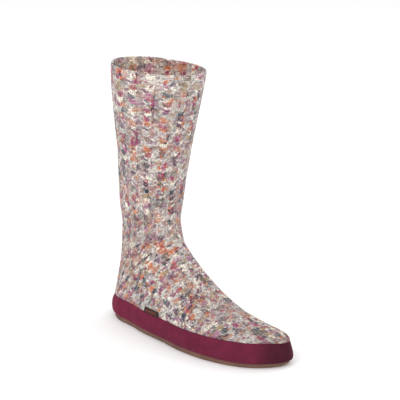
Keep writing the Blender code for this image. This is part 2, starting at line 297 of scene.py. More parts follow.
    def width_squared(self, x: np.ndarray, z: np.ndarray, inset: float) -> np.ndarray:
        """Square of the form's half width at a place of its side view.

        Args:
            x: Places along the sole.
            z: Levels.
            inset: Inset of the face.

        Returns:
            Squares, negative outside the side view: foot and shaft, softly joined at the ankle.
        """
        depth_in = inset - self.knit_inset
        above = np.clip(z - self.band_height, 0.0, None)
        height = self.instep_height - self.band_height
        crown = read_table(INSTEP, "share", "height", x / self.sole_length) * height - depth_in
        rise = above / np.maximum(crown, self.lowest_crown)
        foot = self.half(x, inset) ** 2 * (self.end_rounding(x, inset) - rise ** self.crown_power)
        level = z / self.collar_height
        width = self.shaft_half("width", level) - depth_in
        depth = self.shaft_half("depth", level) - depth_in
        shaft = width ** 2 * (1.0 - ((x - self.shaft_middle(level)) / depth) ** 2)
        rising = np.clip(above / (self.instep_height / 2.0), 0.0, 1.0)
        reach = (self.ankle_blend * rising) ** 2 + self.sharpest_blend ** 2
        mix = np.clip(0.5 + 0.5 * (foot - shaft) / reach, 0.0, 1.0)
        return shaft * (1.0 - mix) + foot * mix + reach * mix * (1.0 - mix)

    def form_centre(self, x: np.ndarray, z: np.ndarray) -> np.ndarray:
        """Middle of the form across."""
        top = self.band_height / 2.0 + self.instep_height
        return self.centre(x) * (1.0 - soft_step(z, self.band_height, top))

    def inside(self, point: np.ndarray, inset: float, floor: float) -> np.ndarray:
        """Positive where points of shape (..., 3) lie inside the form and above its floor.

        Args:
            point: Points.
            inset: Inset of the face.
            floor: Level below which nothing is inside.

        Returns:
            A value for each point.
        """
        x, y, z = point[..., 0], point[..., 1], point[..., 2]
        value = self.width_squared(x, z, inset) - (y - self.form_centre(x, z)) ** 2
        return np.where(z < floor, -1.0, value)

    def puff_out(self, grid: np.ndarray) -> np.ndarray:
        """Let the knit swell level over the band's top edge, less so at the heel and the toe.

        Args:
            grid: Points of the form of shape (rows, columns, 3), counted from the heel's end.

        Returns:
            Shifts of the same shape.
        """
        x, y = grid[..., 0], grid[..., 1]
        out, reach, dip = self.outward(x, y)
        above = grid[..., 2] - self.rim_level(x, y)
        middle_half = self.half(x - out[..., 0] * reach, self.knit_inset)
        rim = np.clip(reach / middle_half, 0.0, 1.0) ** self.puff_power
        share = soft_step(above, -self.puff_foot, self.puff_foot) * soft_step(above, self.puff_top, 0.0)
        ends = np.maximum(soft_step(x, *self.heel_span), soft_step(x, *self.toe_span))
        amount = self.puff * share * rim * (1.0 - self.puff_less * ends + self.toe_swell * dip)
        return np.concatenate([out * amount[..., None], np.zeros_like(grid[..., :1])], axis=-1)

    def outward(self, x: np.ndarray, y: np.ndarray) -> tuple[np.ndarray, np.ndarray, np.ndarray]:
        """Look outward from the middle line of the sole.

        Args:
            x: Places along the sole.
            y: Places across it.

        Returns:
            Directions (x, y), distances, and the share of the dip at the big toe, one at its corner.
        """
        spine = np.clip(x, self.heel_round, self.sole_length - self.toe_round)
        way = np.stack([x - spine, y - self.centre(x)], axis=-1)
        reach = np.maximum(np.linalg.norm(way, axis=-1), self.sharpest_blend)
        way = way / reach[..., None]
        toward = way[..., 0] * math.cos(self.big_toe) + way[..., 1] * math.sin(self.big_toe)
        return way, reach, soft_step(toward, *self.dip_facing) * soft_step(x, *self.dip_span)

    def to_frame(self, points: np.ndarray) -> np.ndarray:
        """Points counted from the heel's end, moved to the frame's origin under the heel."""
        return points - np.array([self.heel_rest, 0.0, 0.0])


@dataclass(frozen=True)
class Sections:
    """Sections of the form from the collar over the ankle to the toe, in planes square to the side view."""

    last: Last
    inset: float
    floor: float
    # How many sections, and how many points on each
    shaft_rings: int = 16
    fan_rings: int = 44
    toe_rings: int = 20
    ring_points: int = 96
    # How far and how finely the rays are followed
    reach: float = 0.26
    march_steps: int = 180
    halvings: int = 16
    # Levels on the front line between which the sections begin to fan out
    turn_start: float = 0.178
    turn_end: float = 0.096
    # How far and how finely the side view is searched
    probe_reach: float = 0.36
    probe_steps: int = 1400
    crown_steps: int = 400
    end_margin: float = 0.0003

    def planes(self) -> tuple[np.ndarray, ...]:
        """Work out the plane of each section.

        Returns:
            Centres (x, z), front directions (x, z), half depths and leans, one row for each section.
        """
        last = self.last
        top = last.collar_height - last.rim_round
        bend_x, bend_z = last.bend
        rows: list[tuple[float, ...]] = []
        for share in np.linspace(1.0, 0.0, self.shaft_rings, endpoint=False):
            level = bend_z + share * (top - bend_z)
            tilt = last.collar_tilt * share
            depth = float(last.shaft_half("depth", level / last.collar_height))
            rows.append((float(last.shaft_middle(level / last.collar_height)), level,
                         math.cos(tilt), -math.sin(tilt), depth, last.collar_lean * share))
        out = np.linspace(self.end_margin, self.probe_reach, self.probe_steps)
        for turn in np.linspace(0.0, math.pi / 2.0, self.fan_rings, endpoint=False):
            near_x, near_z = bend_x - out * math.cos(turn), bend_z - out * math.sin(turn)
            front = out[self.filled(near_x, near_z)][0]
            start_x, start_z = bend_x - front * math.cos(turn), bend_z - front * math.sin(turn)
            lag = float(soft_step(np.array(start_z), self.turn_start, self.turn_end))
            back_x, back_z = -math.cos(turn * lag), -math.sin(turn * lag)
            through = out[self.filled(start_x + out * back_x, start_z + out * back_z)]
            half = 0.5 * float(through[-1])
            rows.append((start_x + half * back_x, start_z + half * back_z, -back_x, -back_z, half, 0.0))
        levels = np.linspace(0.0, last.instep_height, self.crown_steps)
        tip = last.sole_length - self.inset - self.end_margin
        for turn in np.linspace(0.0, math.pi / 2.0, self.toe_rings):
            x = bend_x + (tip - bend_x) * math.sin(turn)
            filled = last.width_squared(np.full_like(levels, x), levels, self.inset) > 0.0
            highest = float(levels[filled][-1])
            middle = 0.5 * (self.floor + highest)
            rows.append((x, middle, 0.0, 1.0, highest - middle, 0.0))
        table = np.array(rows)
        return table[:, :2], table[:, 2:4], table[:, 4], table[:, 5]

    def filled(self, x: np.ndarray, z: np.ndarray) -> np.ndarray:
        """True where places of the side view lie in the form."""
        return (self.last.width_squared(x, z, self.inset) > 0.0) & (z > self.floor)

    def cast(self) -> np.ndarray:
        """Points where rays from the middle of each section leave the form.

        Returns:
            Points of shape (sections, ring points, 3). The first point of a ring lies in front or on top.
        """
        centres, fronts, depths, leans = self.planes()
        last = self.last
        turn = np.linspace(0.0, 2.0 * math.pi, self.ring_points, endpoint=False)[None, :]
        widths = np.sqrt(last.width_squared(centres[:, 0], centres[:, 1], self.inset))[:, None]
        deep, wide = np.cos(turn) * depths[:, None], np.sin(turn) * widths
        spread = np.hypot(deep, wide)
        ahead, inward = deep / spread, wide / spread
        lean = leans[:, None]
        rise = ahead * fronts[:, 1:2] - inward * np.sin(lean)
        rays = np.stack([ahead * fronts[:, 0:1], inward * np.cos(lean), rise], axis=2)
        middle_y = last.form_centre(centres[:, 0], centres[:, 1])
        start = np.stack([centres[:, 0], middle_y, centres[:, 1]], axis=1)[:, None, :]
        reach = np.linspace(0.0, self.reach, self.march_steps)
        near = np.zeros(ahead.shape)
        found = np.zeros(ahead.shape, dtype=bool)
        for step in reach[1:]:
            outside = last.inside(start + step * rays, self.inset, self.floor) < 0.0
            found |= outside
            near = np.where(found, near, step)
        far = near + (reach[1] - reach[0])
        for _ in range(self.halvings):
            half = 0.5 * (near + far)
            within = last.inside(start + half[..., None] * rays, self.inset, self.floor) >= 0.0
            near, far = np.where(within, half, near), np.where(within, far, half)
        return start + (0.5 * (near + far))[..., None] * rays


def run_along(points: np.ndarray) -> np.ndarray:
    """Distances from the first of a row of points to each of them, along the row."""
    return np.concatenate([[0.0], np.cumsum(np.linalg.norm(np.diff(points, axis=0), axis=1))])


def even_ring(ring: np.ndarray, count: int) -> np.ndarray:
    """Space points evenly round a closed ring, beginning at its first point.

    Args:
        ring: Points of shape (n, 3).
        count: Points wanted.

    Returns:
        Points of shape (count, 3).
    """
    wrap = 4
    padded = np.concatenate([ring[-wrap:], ring, ring[:wrap + 1]])
    run = run_along(padded)
    first, last_run = run[wrap], run[wrap + len(ring)]
    at = first + np.arange(count) / count * (last_run - first)
    return smooth_read(run, padded, at)


def grid_normals(grid: np.ndarray) -> np.ndarray:
    """Outward unit normals of a grid of rows by closed columns.

    Args:
        grid: Points of shape (rows, columns, 3), rows from the top down.

    Returns:
        Normals of the same shape.
    """
    down = np.gradient(grid, axis=0)
    around = np.roll(grid, -1, axis=1) - np.roll(grid, 1, axis=1)
    normal = np.cross(down, around)
    return normal / np.maximum(np.linalg.norm(normal, axis=2, keepdims=True), 1e-12)


def link_mesh(name: str, points: np.ndarray, faces: np.ndarray) -> bpy.types.Object:
    """Make a smooth object from points and quads.

    Args:
        name: Name of the piece.
        points: Points of shape (n, 3), in the frame.
        faces: Quads of shape (m, 4), as point numbers.

    Returns:
        The linked object.
    """
    mesh = bpy.data.meshes.new(name)
    mesh.vertices.add(len(points))
    mesh.vertices.foreach_set("co", points.astype(np.float32).ravel())
    mesh.loops.add(faces.size)
    mesh.loops.foreach_set("vertex_index", faces.astype(np.int32).ravel())
    mesh.polygons.add(len(faces))
    mesh.polygons.foreach_set("loop_start", np.arange(0, faces.size, 4, dtype=np.int32))
    mesh.update(calc_edges=True)
    mesh.validate()
    mesh.shade_smooth()
    obj = bpy.data.objects.new(name, mesh)
    bpy.context.scene.collection.objects.link(obj)
    return obj


def add_uv(obj: bpy.types.Object, name: str, values: np.ndarray) -> None:
    """Store a pair of numbers at each face corner as a UV layer."""
    layer = obj.data.uv_layers.new(name=name)
    layer.data.foreach_set("uv", values.astype(np.float32).ravel())


def closed_faces(rows: int, columns: int) -> np.ndarray:
    """Quads of a grid whose columns close into rings, ordered so that they face outward.

    Args:
        rows: Rows of the grid.
        columns: Points in each row.

    Returns:
        Quads of shape (n, 4), as point numbers.
    """
    row, column = np.meshgrid(np.arange(rows - 1), np.arange(columns), indexing="ij")
    nxt = (column + 1) % columns
    quads = np.stack([row * columns + column, (row + 1) * columns + column,
                      (row + 1) * columns + nxt, row * columns + nxt], axis=-1)
    return quads.reshape(-1, 4)


def sweep(name: str, last: Last, grid: list[np.ndarray], material: bpy.types.Material) -> bpy.types.Object:
    """Make a piece from closed rows of points, given from the top down on the outside.

    Args:
        name: Name of the piece.
        last: The form, which moves the points to the frame.
        grid: Rows of points, each of shape (n, 3).
        material: Finish of the piece.

    Returns:
        The piece.
    """
    faces = closed_faces(len(grid), len(grid[0]))
    obj = link_mesh(name, last.to_frame(np.concatenate(grid)), faces)
    obj.data.materials.append(material)
    log.info("%s: %d faces", name, len(faces))
    return obj


class Wire:
    """A value on its way through a shader, with which sums can be written plainly."""

    def __init__(self, graph: "Graph", socket: bpy.types.NodeSocket) -> None:
        """Hold an output of one of the graph's nodes."""
        self.graph = graph
        self.socket = socket

    def __add__(self, other: "Value") -> "Wire":
        """Add a value."""
        return self.graph.math("ADD", self, other)

    def __sub__(self, other: "Value") -> "Wire":
        """Take a value away."""
        return self.graph.math("SUBTRACT", self, other)

    def __rsub__(self, other: float) -> "Wire":
        """Take this away from a number."""
        return self.graph.math("SUBTRACT", other, self)

    def __mul__(self, other: "Value") -> "Wire":
        """Multiply by a value."""
        return self.graph.math("MULTIPLY", self, other)

    def __truediv__(self, other: "Value") -> "Wire":
        """Divide by a value."""
        return self.graph.math("DIVIDE", self, other)

    def __pow__(self, other: float) -> "Wire":
        """Raise to a power."""
        return self.graph.math("POWER", self, other)

    def __gt__(self, other: "Value") -> "Wire":
        """One where this is the greater, else zero."""
        return self.graph.math("GREATER_THAN", self, other)

    def __abs__(self) -> "Wire":
        """Drop the sign."""
        return self.graph.math("ABSOLUTE", self)

    def whole(self) -> "Wire":
        """The whole number below."""
        return self.graph.math("FLOOR", self)

    def part(self) -> "Wire":
        """What is left over the whole number below."""
        return self.graph.math("FRACT", self)

    def sine(self) -> "Wire":
        """The sine."""
        return self.graph.math("SINE", self)


Value = Wire | float | tuple[float, ...]


class Graph:
    """Short spellings for building a shader from nodes."""

    def __init__(self, name: str) -> None:
        """Start a material with an empty tree that holds a principled shader.

        Args:
            name: Name of the material.
        """
        self.material = bpy.data.materials.new(name)
        self.material.use_nodes = True
        self.tree = self.material.node_tree
        self.shader = self.tree.nodes["Principled BSDF"]

    def node(self, kind: str, *values: Value, **settings: object) -> bpy.types.Node:
        """Add a node, set its properties and feed its first inputs.

        Args:
            kind: The node's type.
            values: Values or wires for its first inputs, in order.
            settings: Its properties.

        Returns:
            The node.
        """
        made = self.tree.nodes.new(kind)
        for key, value in settings.items():
            setattr(made, key, value)
        for socket, value in zip(made.inputs, values):
            self.put(socket, value)
        return made

    def put(self, socket: bpy.types.NodeSocket, value: Value) -> None:
        """Link a wire to a socket, or set the socket's own value.

        Args:
            socket: An input.
            value: What it is given.
        """
        if isinstance(value, Wire):
            self.tree.links.new(value.socket, socket)
        else:
            socket.default_value = value

    def out(self, node: bpy.types.Node, name: str | int = 0) -> Wire:
        """A node's output as a wire."""
        return Wire(self, node.outputs[name])

    def math(self, operation: str, first: Value, second: Value = 0.0) -> Wire:
        """One step of arithmetic."""
        return self.out(self.node("ShaderNodeMath", first, second, operation=operation))

    def span(self, value: Wire, low: float, high: float, to_low: float = 0.0, to_high: float = 1.0) -> Wire:
        """Map a range to another with a soft step, clamped at both ends."""
        return self.out(self.node("ShaderNodeMapRange", value, low, high, to_low, to_high,
                                  interpolation_type="SMOOTHSTEP"))

    def window(self, value: Wire, low: float, high: float, soft: float) -> Wire:
        """One between two values, falling softly to zero inside them."""
        return self.span(value, low, low + soft) * self.span(value, high, high - soft)

    def mix(self, share: Value, first: Value, second: Value, blend: str = "MIX") -> Wire:
        """Blend two colours by a share.

        Args:
            share: Share of the second colour.
            first: A colour.
            second: Another colour.
            blend: Way of blending.

        Returns:
            The blended colour.
        """
        made = self.node("ShaderNodeMix", data_type="RGBA", blend_type=blend)
        self.put(made.inputs["Factor"], share)
        colours = [socket for socket in made.inputs if socket.type == "RGBA"]
        self.put(colours[0], first)
        self.put(colours[1], second)
        return Wire(self, next(socket for socket in made.outputs if socket.type == "RGBA"))

    def shade(self, colour: Value, *light: Wire) -> Wire:
        """Multiply a colour by one value, or by one for each of its three parts."""
        return self.mix(1.0, colour, self.vector(*(light if len(light) > 1 else light * 3)), "MULTIPLY")

    def mottle(self, colour: Value, noise: Wire, low: float, high: float) -> Wire:
        """Darken and lighten a colour with a noise."""
        return self.shade(colour, self.span(noise, 0.3, 0.7, low, high))

    def vector(self, x: Value, y: Value, z: Value = 0.0) -> Wire:
        """Join three values to a vector."""
        return self.out(self.node("ShaderNodeCombineXYZ", x, y, z))

    def split(self, value: Wire) -> tuple[Wire, ...]:
        """Part a vector into its three values."""
        made = self.node("ShaderNodeSeparateXYZ", value)
        return tuple(Wire(self, socket) for socket in made.outputs)

    def uv(self, name: str) -> tuple[Wire, ...]:
        """The two values of a UV layer."""
        return self.split(self.out(self.node("ShaderNodeUVMap", uv_map=name)))[:2]

    def place(self) -> Wire:
        """The place of the shaded point on its object, in metres."""
        return self.out(self.node("ShaderNodeTexCoord"), "Object")

    def noise(self, at: Wire, scale: float, detail: float = 2.0, roughness: float = 0.5) -> Wire:
        """Soft noise from zero to one.

        Args:
            at: Place that the noise is read at.
            scale: Lumps to a unit of place.
            detail: Finer layers.
            roughness: Weight of the finer layers.

        Returns:
            The noise.
        """
        made = self.node("ShaderNodeTexNoise")
        for name, value in (("Vector", at), ("Scale", scale), ("Detail", detail), ("Roughness", roughness)):
            self.put(made.inputs[name], value)
        return self.out(made, "Fac")

    def plane_noise(self, x: Wire, y: Wire, scale: tuple[float, float], layer: float = 0.0,
                    detail: float = 1.0, roughness: float = 0.5) -> Wire:
        """Soft noise on the plane of wales and courses.

        Args:
            x: Place across, in wales.
            y: Place along, in courses.
            scale: Lumps to a wale and to a course.
            layer: Tells one noise from another.
            detail: Finer layers.
            roughness: Weight of the finer layers.

        Returns:
            The noise.
        """
        return self.noise(self.vector(x * scale[0], y * scale[1], layer), 1.0, detail, roughness)

    def cells(self, x: Wire, y: Wire, jitter: float) -> tuple[Wire, ...]:
        """Two random values for each cell of a jittered grid in the plane, and the way to its middle.

        Args:
            x: Place across, in cells.
            y: Place along, in cells.
            jitter: How far the cells stray from their grid.

        Returns:
            The two random values and the distance.
        """
        made = self.node("ShaderNodeTexVoronoi", voronoi_dimensions="2D")
        for name, value in (("Vector", self.vector(x, y)), ("Scale", 1.0), ("Randomness", jitter)):
            self.put(made.inputs[name], value)
        return self.split(self.out(made, "Color"))[:2] + (self.out(made, "Distance"),)

    def dice(self, x: Value, y: Value, z: float) -> tuple[Wire, ...]:
        """Three random values for each whole place."""
        made = self.node("ShaderNodeTexWhiteNoise", self.vector(x, y, z))
        return self.split(self.out(made, "Color"))

    def ramp(self, share: Wire, stops: Stops, sharp: bool = False) -> Wire:
        """A ramp of colours, in steps where sharp.

        Args:
            share: Place on the ramp.
            stops: Places and colours, in order.
            sharp: True for steps.

        Returns:
            The colour.
        """
        made = self.node("ShaderNodeValToRGB", share)
        made.color_ramp.interpolation = "CONSTANT" if sharp else "LINEAR"
        elements = made.color_ramp.elements
        while len(elements) > 1:
            elements.remove(elements[-1])
        elements[0].position, elements[0].color = stops[0][0], linear(stops[0][1])
        for position, colour in stops[1:]:
            elements.new(position).color = linear(colour)
        return self.out(made)

    def bump(self, height: Wire, distance: float, strength: float, under: Wire | None = None) -> Wire:
        """Bend the shading normal by a height, over another bump where one is given.

        Args:
            height: Height from zero to one.
            distance: What a height of one stands for, in metres.
            strength: Share of the bend.
            under: A bump underneath.

        Returns:
            The normal.
        """
        made = self.node("ShaderNodeBump")
        for name, value in (("Height", height), ("Distance", distance), ("Strength", strength)):
            self.put(made.inputs[name], value)
        if under is not None:
            self.put(made.inputs["Normal"], under)
        return self.out(made)

    def finish(self, colour: Value, roughness: Value, normal: Wire, **uniform: Value) -> bpy.types.Material:
        """Wire the shader and set its uniform inputs.

        Args:
            colour: Base colour.
            roughness: Roughness.
            normal: Shading normal.
            uniform: Other inputs of the shader, with spaces written as underscores.

        Returns:
            The finished material.
        """
        self.put(self.shader.inputs["Base Color"], colour)
        self.put(self.shader.inputs["Roughness"], roughness)
        self.put(self.shader.inputs["Normal"], normal)
        for key, value in uniform.items():
            self.shader.inputs[key.replace("_", " ")].default_value = value
        return self.material


def linear(colour: Colour) -> tuple[float, float, float, float]:
    """Turn a colour as seen on a screen, 0 to 255, into the shader's linear values.

    Args:
        colour: Red, green and blue.

    Returns:
        Red, green, blue and one.
    """
    parts = (part / 255.0 for part in colour)
    red, green, blue = (part / 12.92 if part <= 0.04045 else ((part + 0.055) / 1.055) ** 2.4
                        for part in parts)
    return red, green, blue, 1.0


class Side(Enum):
    """The side of a knitted wall that is seen."""

    FACE = "face"
    BACK = "back"


class Zone(Enum):
    """The part of the sock on which a layer of flecks shows."""

    RIBBED = "ribbed leg"
    FOOT = "foot"
    FRONT = "forefoot"


@dataclass(frozen=True)
class FleckLayer:
    """One layer of flecks, with a fleck in some of the cells of a jittered grid.

    size holds cells to a wale and to a course, cut the share of cells left bare, strand which of the strand's
    random values thins the flecks, and least the cover of the thinnest strands.
    """

    zone: Zone
    size: tuple[float, float]
    jitter: float
    cut: float
    strand: int
    least: float


@dataclass(frozen=True)
class MarledYarn:
    """Space-dyed wool, knitted: pale marl with short flecks of many colours."""

    wales_per_rib: int
    knit_wales: int
    pale: Stops = (
        (0.00, (158, 128, 144)), (0.20, (204, 186, 190)), (0.40, (250, 238, 224)), (0.56, (204, 204, 198)),
        (0.74, (222, 200, 196)), (1.00, (206, 170, 148)))
    flecks: Stops = (
        (0.00, (166, 60, 104)), (0.13, (98, 56, 76)), (0.27, (214, 116, 62)), (0.37, (56, 56, 74)),
        (0.49, (176, 146, 106)), (0.58, (186, 120, 148)), (0.67, (112, 92, 80)), (0.75, (200, 126, 100)),
        (0.83, (252, 240, 222)), (0.94, (168, 58, 76)))
    layers: tuple[FleckLayer, ...] = (
        FleckLayer(Zone.RIBBED, (0.2857, 0.31), 0.65, 0.26, 0, 0.50),
        FleckLayer(Zone.FOOT, (0.30, 0.36), 0.85, 0.42, 0, 0.50),
        FleckLayer(Zone.RIBBED, (0.5714, 0.62), 0.9, 0.72, 1, 0.30),
        FleckLayer(Zone.FOOT, (0.55, 0.70), 0.9, 0.72, 1, 0.42),
        FleckLayer(Zone.FRONT, (0.19, 0.24), 0.9, 0.36, 0, 0.50),
        FleckLayer(Zone.FRONT, (0.40, 0.50), 0.9, 0.74, 1, 0.42))
    # Noise across and along the courses, in lumps to a wale and to a course
    marl_scale: tuple[float, float] = (0.8, 7.31)
    hue_scale: tuple[float, float] = (0.26, 0.30)
    patch_scale: tuple[float, float] = (0.07, 0.05)
    ply_scale: tuple[float, float] = (1.5, 5.5)
    fibre_scale: tuple[float, float] = (5.0, 3.0)
    # Strands: how many to a wale, how far each course is shifted, and how they thin the flecks
    strands_per_wale: float = 1.4
    strand_shift: float = 31.0
    fleck_shift: float = 0.7
    strand_thinning: tuple[float, float] = (0.1, 0.75)
    fleck_edge: tuple[float, float] = (0.76, 0.46)
    patch_span: tuple[float, float] = (0.36, 0.60)
    patch_cover: tuple[float, float] = (0.80, 1.0)
    knit_rib_share: float = 0.45
    rib_fade: tuple[float, float] = (0.45, 0.55)
    # Light and dark of the yarn's own tone, the painted shade in the stitches' grooves with a painted
    # highlight on their crests, and the sheen
    hue_span: tuple[float, float] = (0.26, 0.74)
    marl_light: tuple[float, float] = (0.62, 1.16)
    strand_light: tuple[float, float] = (0.72, 1.24)
    ply_light: tuple[float, float] = (0.84, 1.14)
    crest_height: float = 0.75
    painted_groove_shade: tuple[float, float] = (0.52, 1.10)
    sheen: Colour = (150, 215, 220)
    # Shape of a stitch
    stitch_depth: float = 0.0007
    fibre_depth: float = 0.00035
    leg_edge: float = 0.8
    strand_share: float = 0.6
    purl_fall: float = 0.8
    vee_slope: float = -0.9
    arc_slope: float = -0.45
    tip_height: float = 0.6
    # Painted light on each side of the wall: the back is made a little lighter and warmer, since less light
    # reaches it.
    face_painted_light: tuple[float, float, float] = (1.0, 1.0, 1.0)
    back_painted_light: tuple[float, float, float] = (1.13, 1.06, 1.01)

    def material(self, side: Side) -> bpy.types.Material:
        """Build the yarn's material for the face or the back of the knit.

        Args:
            side: Which side of the wall is seen. The back gets painted light, a little lighter and warmer,
                since less light reaches it.

        Returns:
            The material.
        """
        graph = Graph("marled_knit_" + side.value)
        wale, course = graph.uv("stitch")
        leg, front = graph.uv("zone")
        purl = self.purl_share(graph, wale, leg)
        from_middle = abs(wale.part() - 0.5)
        vee = from_middle * self.vee_slope
        arc = (from_middle * 2.0) ** 2.0 * self.arc_slope
        row = course + (vee + purl * (arc - vee))
        colour = self.colours(graph, (wale, row), (leg, front), purl)
        stitch_legs = 1.0 - abs(from_middle * 4.0 - 1.0)
        strand = (row.part() * math.pi).sine()
        knit_height = graph.span(stitch_legs, 0.0, self.leg_edge) * (
            strand * self.strand_share + (1.0 - self.strand_share))
        purl_height = graph.span(strand, 0.0, 1.0) * (1.0 - from_middle * self.purl_fall)
        height = knit_height + purl * (purl_height - knit_height)
        tip = graph.span(front, 1.0, 2.0)
        height = height * (1.0 - tip) + tip * self.tip_height
        # Painted shade: the colour darkens in the stitches' grooves and lightens on their crests, as light
        # falling on the relief would.
        depth = graph.span(height, 0.0, self.crest_height, *self.painted_groove_shade)
        # Painted light: the back of the wall is lit up a little and warmed.
        side_painted_light = self.face_painted_light if side is Side.FACE else self.back_painted_light
        colour = graph.shade(colour, *(depth * part for part in side_painted_light))
        fibre = graph.plane_noise(wale, row, self.fibre_scale, detail=3.0, roughness=0.65)
        normal = graph.bump(height, self.stitch_depth, 0.85, graph.bump(fibre, self.fibre_depth, 0.6))
        return graph.finish(colour, graph.span(fibre, 0.2, 0.8, 0.86, 0.98), normal,
                            Specular_IOR_Level=0.22, Sheen_Weight=0.24, Sheen_Roughness=0.55,
                            Sheen_Tint=linear(self.sheen))

    def purl_share(self, graph: Graph, wale: Wire, leg: Wire) -> Wire:
        """One on the purl wales of the leg's ribs, zero on knit wales and on the foot."""
        in_rib = (wale / float(self.wales_per_rib)).part() * float(self.wales_per_rib)
        return (in_rib > float(self.knit_wales)) * graph.span(leg, *self.rib_fade)

    def colours(self, graph: Graph, place: tuple[Wire, Wire], zones: tuple[Wire, Wire], purl: Wire) -> Wire:
        """Colours of the yarn, running along the courses: pale marl, broad flecks and short dashes.

        Args:
            graph: The material's graph.
            place: Place along the course in wales, and place across the courses.
            zones: Shares of the ribbed leg and of the forefoot.
            purl: One on the leg's purl wales, where most of the flecks show.

        Returns:
            The colour.
        """
        wale, row = place
        row_number = row.whole()
        row_luck = graph.dice(row_number, 3.0, 7.0)[0]
        shifted = wale + row_luck * self.strand_shift
        fine = graph.plane_noise(shifted, row_number, self.marl_scale, detail=2.0, roughness=0.6)
        hue = graph.plane_noise(wale, row, self.hue_scale, 4.0)
        colour = graph.shade(graph.ramp(graph.span(hue, *self.hue_span), self.pale),
                             graph.span(fine, 0.28, 0.72, *self.marl_light))
        strand_luck = graph.dice(row_number, (shifted * self.strands_per_wale).whole(), 5.0)
        sideways = wale + row_luck * self.fleck_shift
        leg, front = zones[0], graph.span(zones[1], 0.0, 1.0)
        shares = {Zone.RIBBED: leg * (purl * (1.0 - self.knit_rib_share) + self.knit_rib_share),
                  Zone.FOOT: 1.0 - leg - front, Zone.FRONT: front}
        patches = graph.plane_noise(wale, row, self.patch_scale, 8.0)
        dense = graph.span(patches, *self.patch_span, *self.patch_cover)
        for layer in self.layers:
            cell = graph.cells(sideways * layer.size[0], row * layer.size[1], layer.jitter)
            cover = (cell[1] > layer.cut) * graph.span(cell[2], *self.fleck_edge) * dense
            cover = cover * graph.span(strand_luck[layer.strand], *self.strand_thinning, layer.least, 1.0)
            fleck = graph.ramp(cell[0], self.flecks, sharp=True)
            colour = graph.mix(cover * shares[layer.zone], colour, fleck)
        ply = graph.plane_noise(shifted, row, self.ply_scale)
        light = graph.span(strand_luck[2], 0.0, 1.0, *self.strand_light)
        return graph.shade(colour, light * graph.span(ply, 0.3, 0.7, *self.ply_light))


@dataclass(frozen=True)
class Suede:
    """Plum suede with a short nap, with painted light at the heel and painted shade that darkens it toward
    the toe, most at the tip.
    """

    # Painted light and shade along the band: lighter at the heel, which faces the light, darkest at the toe's
    # tip, which faces away from it.
    heel: Colour = (108, 28, 54)
    middle: Colour = (98, 27, 52)
    toe: Colour = (98, 28, 51)
    tip: Colour = (64, 17, 33)
    sheen: Colour = (200, 90, 130)
    heel_x: float = -0.03
    toe_x: float = 0.215
    tip_from: float = 0.985
    nap_scale: float = 1300.0

    def material(self) -> bpy.types.Material:
        """Build the suede's material.

        Returns:
            The material.
        """
        graph = Graph("plum_suede")
        at = graph.place()
        cloud = graph.noise(at, 90.0, 4.0, 0.6)
        nap = graph.noise(at, self.nap_scale, 4.0, 0.75)
        run = graph.span(graph.split(at)[0], self.heel_x, self.toe_x)
        stops = (0.0, self.heel), (0.5, self.middle), (self.tip_from, self.toe), (1.0, self.tip)
        colour = graph.ramp(run, stops)
        colour = graph.mottle(graph.mottle(colour, cloud, 0.86, 1.14), nap, 0.80, 1.20)
        normal = graph.bump(nap, 0.0002, 0.5, graph.bump(cloud, 0.0008, 0.35))
        return graph.finish(colour, graph.span(nap, 0.2, 0.8, 0.78, 0.92), normal,
                            Specular_IOR_Level=0.18, Sheen_Weight=0.12, Sheen_Roughness=0.4,
                            Sheen_Tint=linear(self.sheen))


@dataclass(frozen=True)
class SoleRubber:
    """Thin brown rubber with a fine grain, and a wavy tread underneath."""

    colour: Colour = (117, 86, 72)
    grain_scale: float = 1500.0
    tread_pitch: float = 0.006
    wave_pitch: float = 0.015
    wave_height: float = 0.0018
    tread_depth: float = 0.0009

    def material(self) -> bpy.types.Material:
        """Build the rubber's material.

        Returns:
            The material.
        """
        graph = Graph("brown_rubber")
        at = graph.place()
        x, y, _ = graph.split(at)
        grain = graph.noise(at, self.grain_scale, 3.0, 0.6)
        colour = graph.mottle(linear(self.colour), graph.noise(at, 60.0, 3.0), 0.84, 1.12)
        wave = (y * (2.0 * math.pi / self.wave_pitch)).sine() * self.wave_height
        ridge = ((x + wave) * (2.0 * math.pi / self.tread_pitch)).sine()
        down = graph.split(graph.out(graph.node("ShaderNodeNewGeometry"), "Normal"))[2] * -1.0
        tread = graph.span(ridge, -0.3, 0.5) * graph.span(down, 0.8, 0.95)
        normal = graph.bump(tread, self.tread_depth, 0.9, graph.bump(grain, 0.0002, 0.4))
        return graph.finish(colour, graph.span(grain, 0.2, 0.8, 0.68, 0.84), normal, Specular_IOR_Level=0.35)


@dataclass(frozen=True)
class FootbedCloth:
    """Brushed cloth over a foam insole."""

    colour: Colour = (168, 150, 146)
    pile_scale: float = 1800.0

    def material(self) -> bpy.types.Material:
        """Build the cloth's material.

        Returns:
            The material.
        """
        graph = Graph("footbed_cloth")
        at = graph.place()
        pile = graph.noise(at, self.pile_scale, 4.0, 0.7)
        cloud = graph.noise(at, 45.0)
        light = graph.span(cloud, 0.3, 0.7, 0.9, 1.08) * graph.span(pile, 0.2, 0.8, 0.85, 1.12)
        return graph.finish(graph.shade(linear(self.colour), light), 0.95, graph.bump(pile, 0.0004, 0.7),
                            Specular_IOR_Level=0.2, Sheen_Weight=0.2, Sheen_Roughness=0.5)


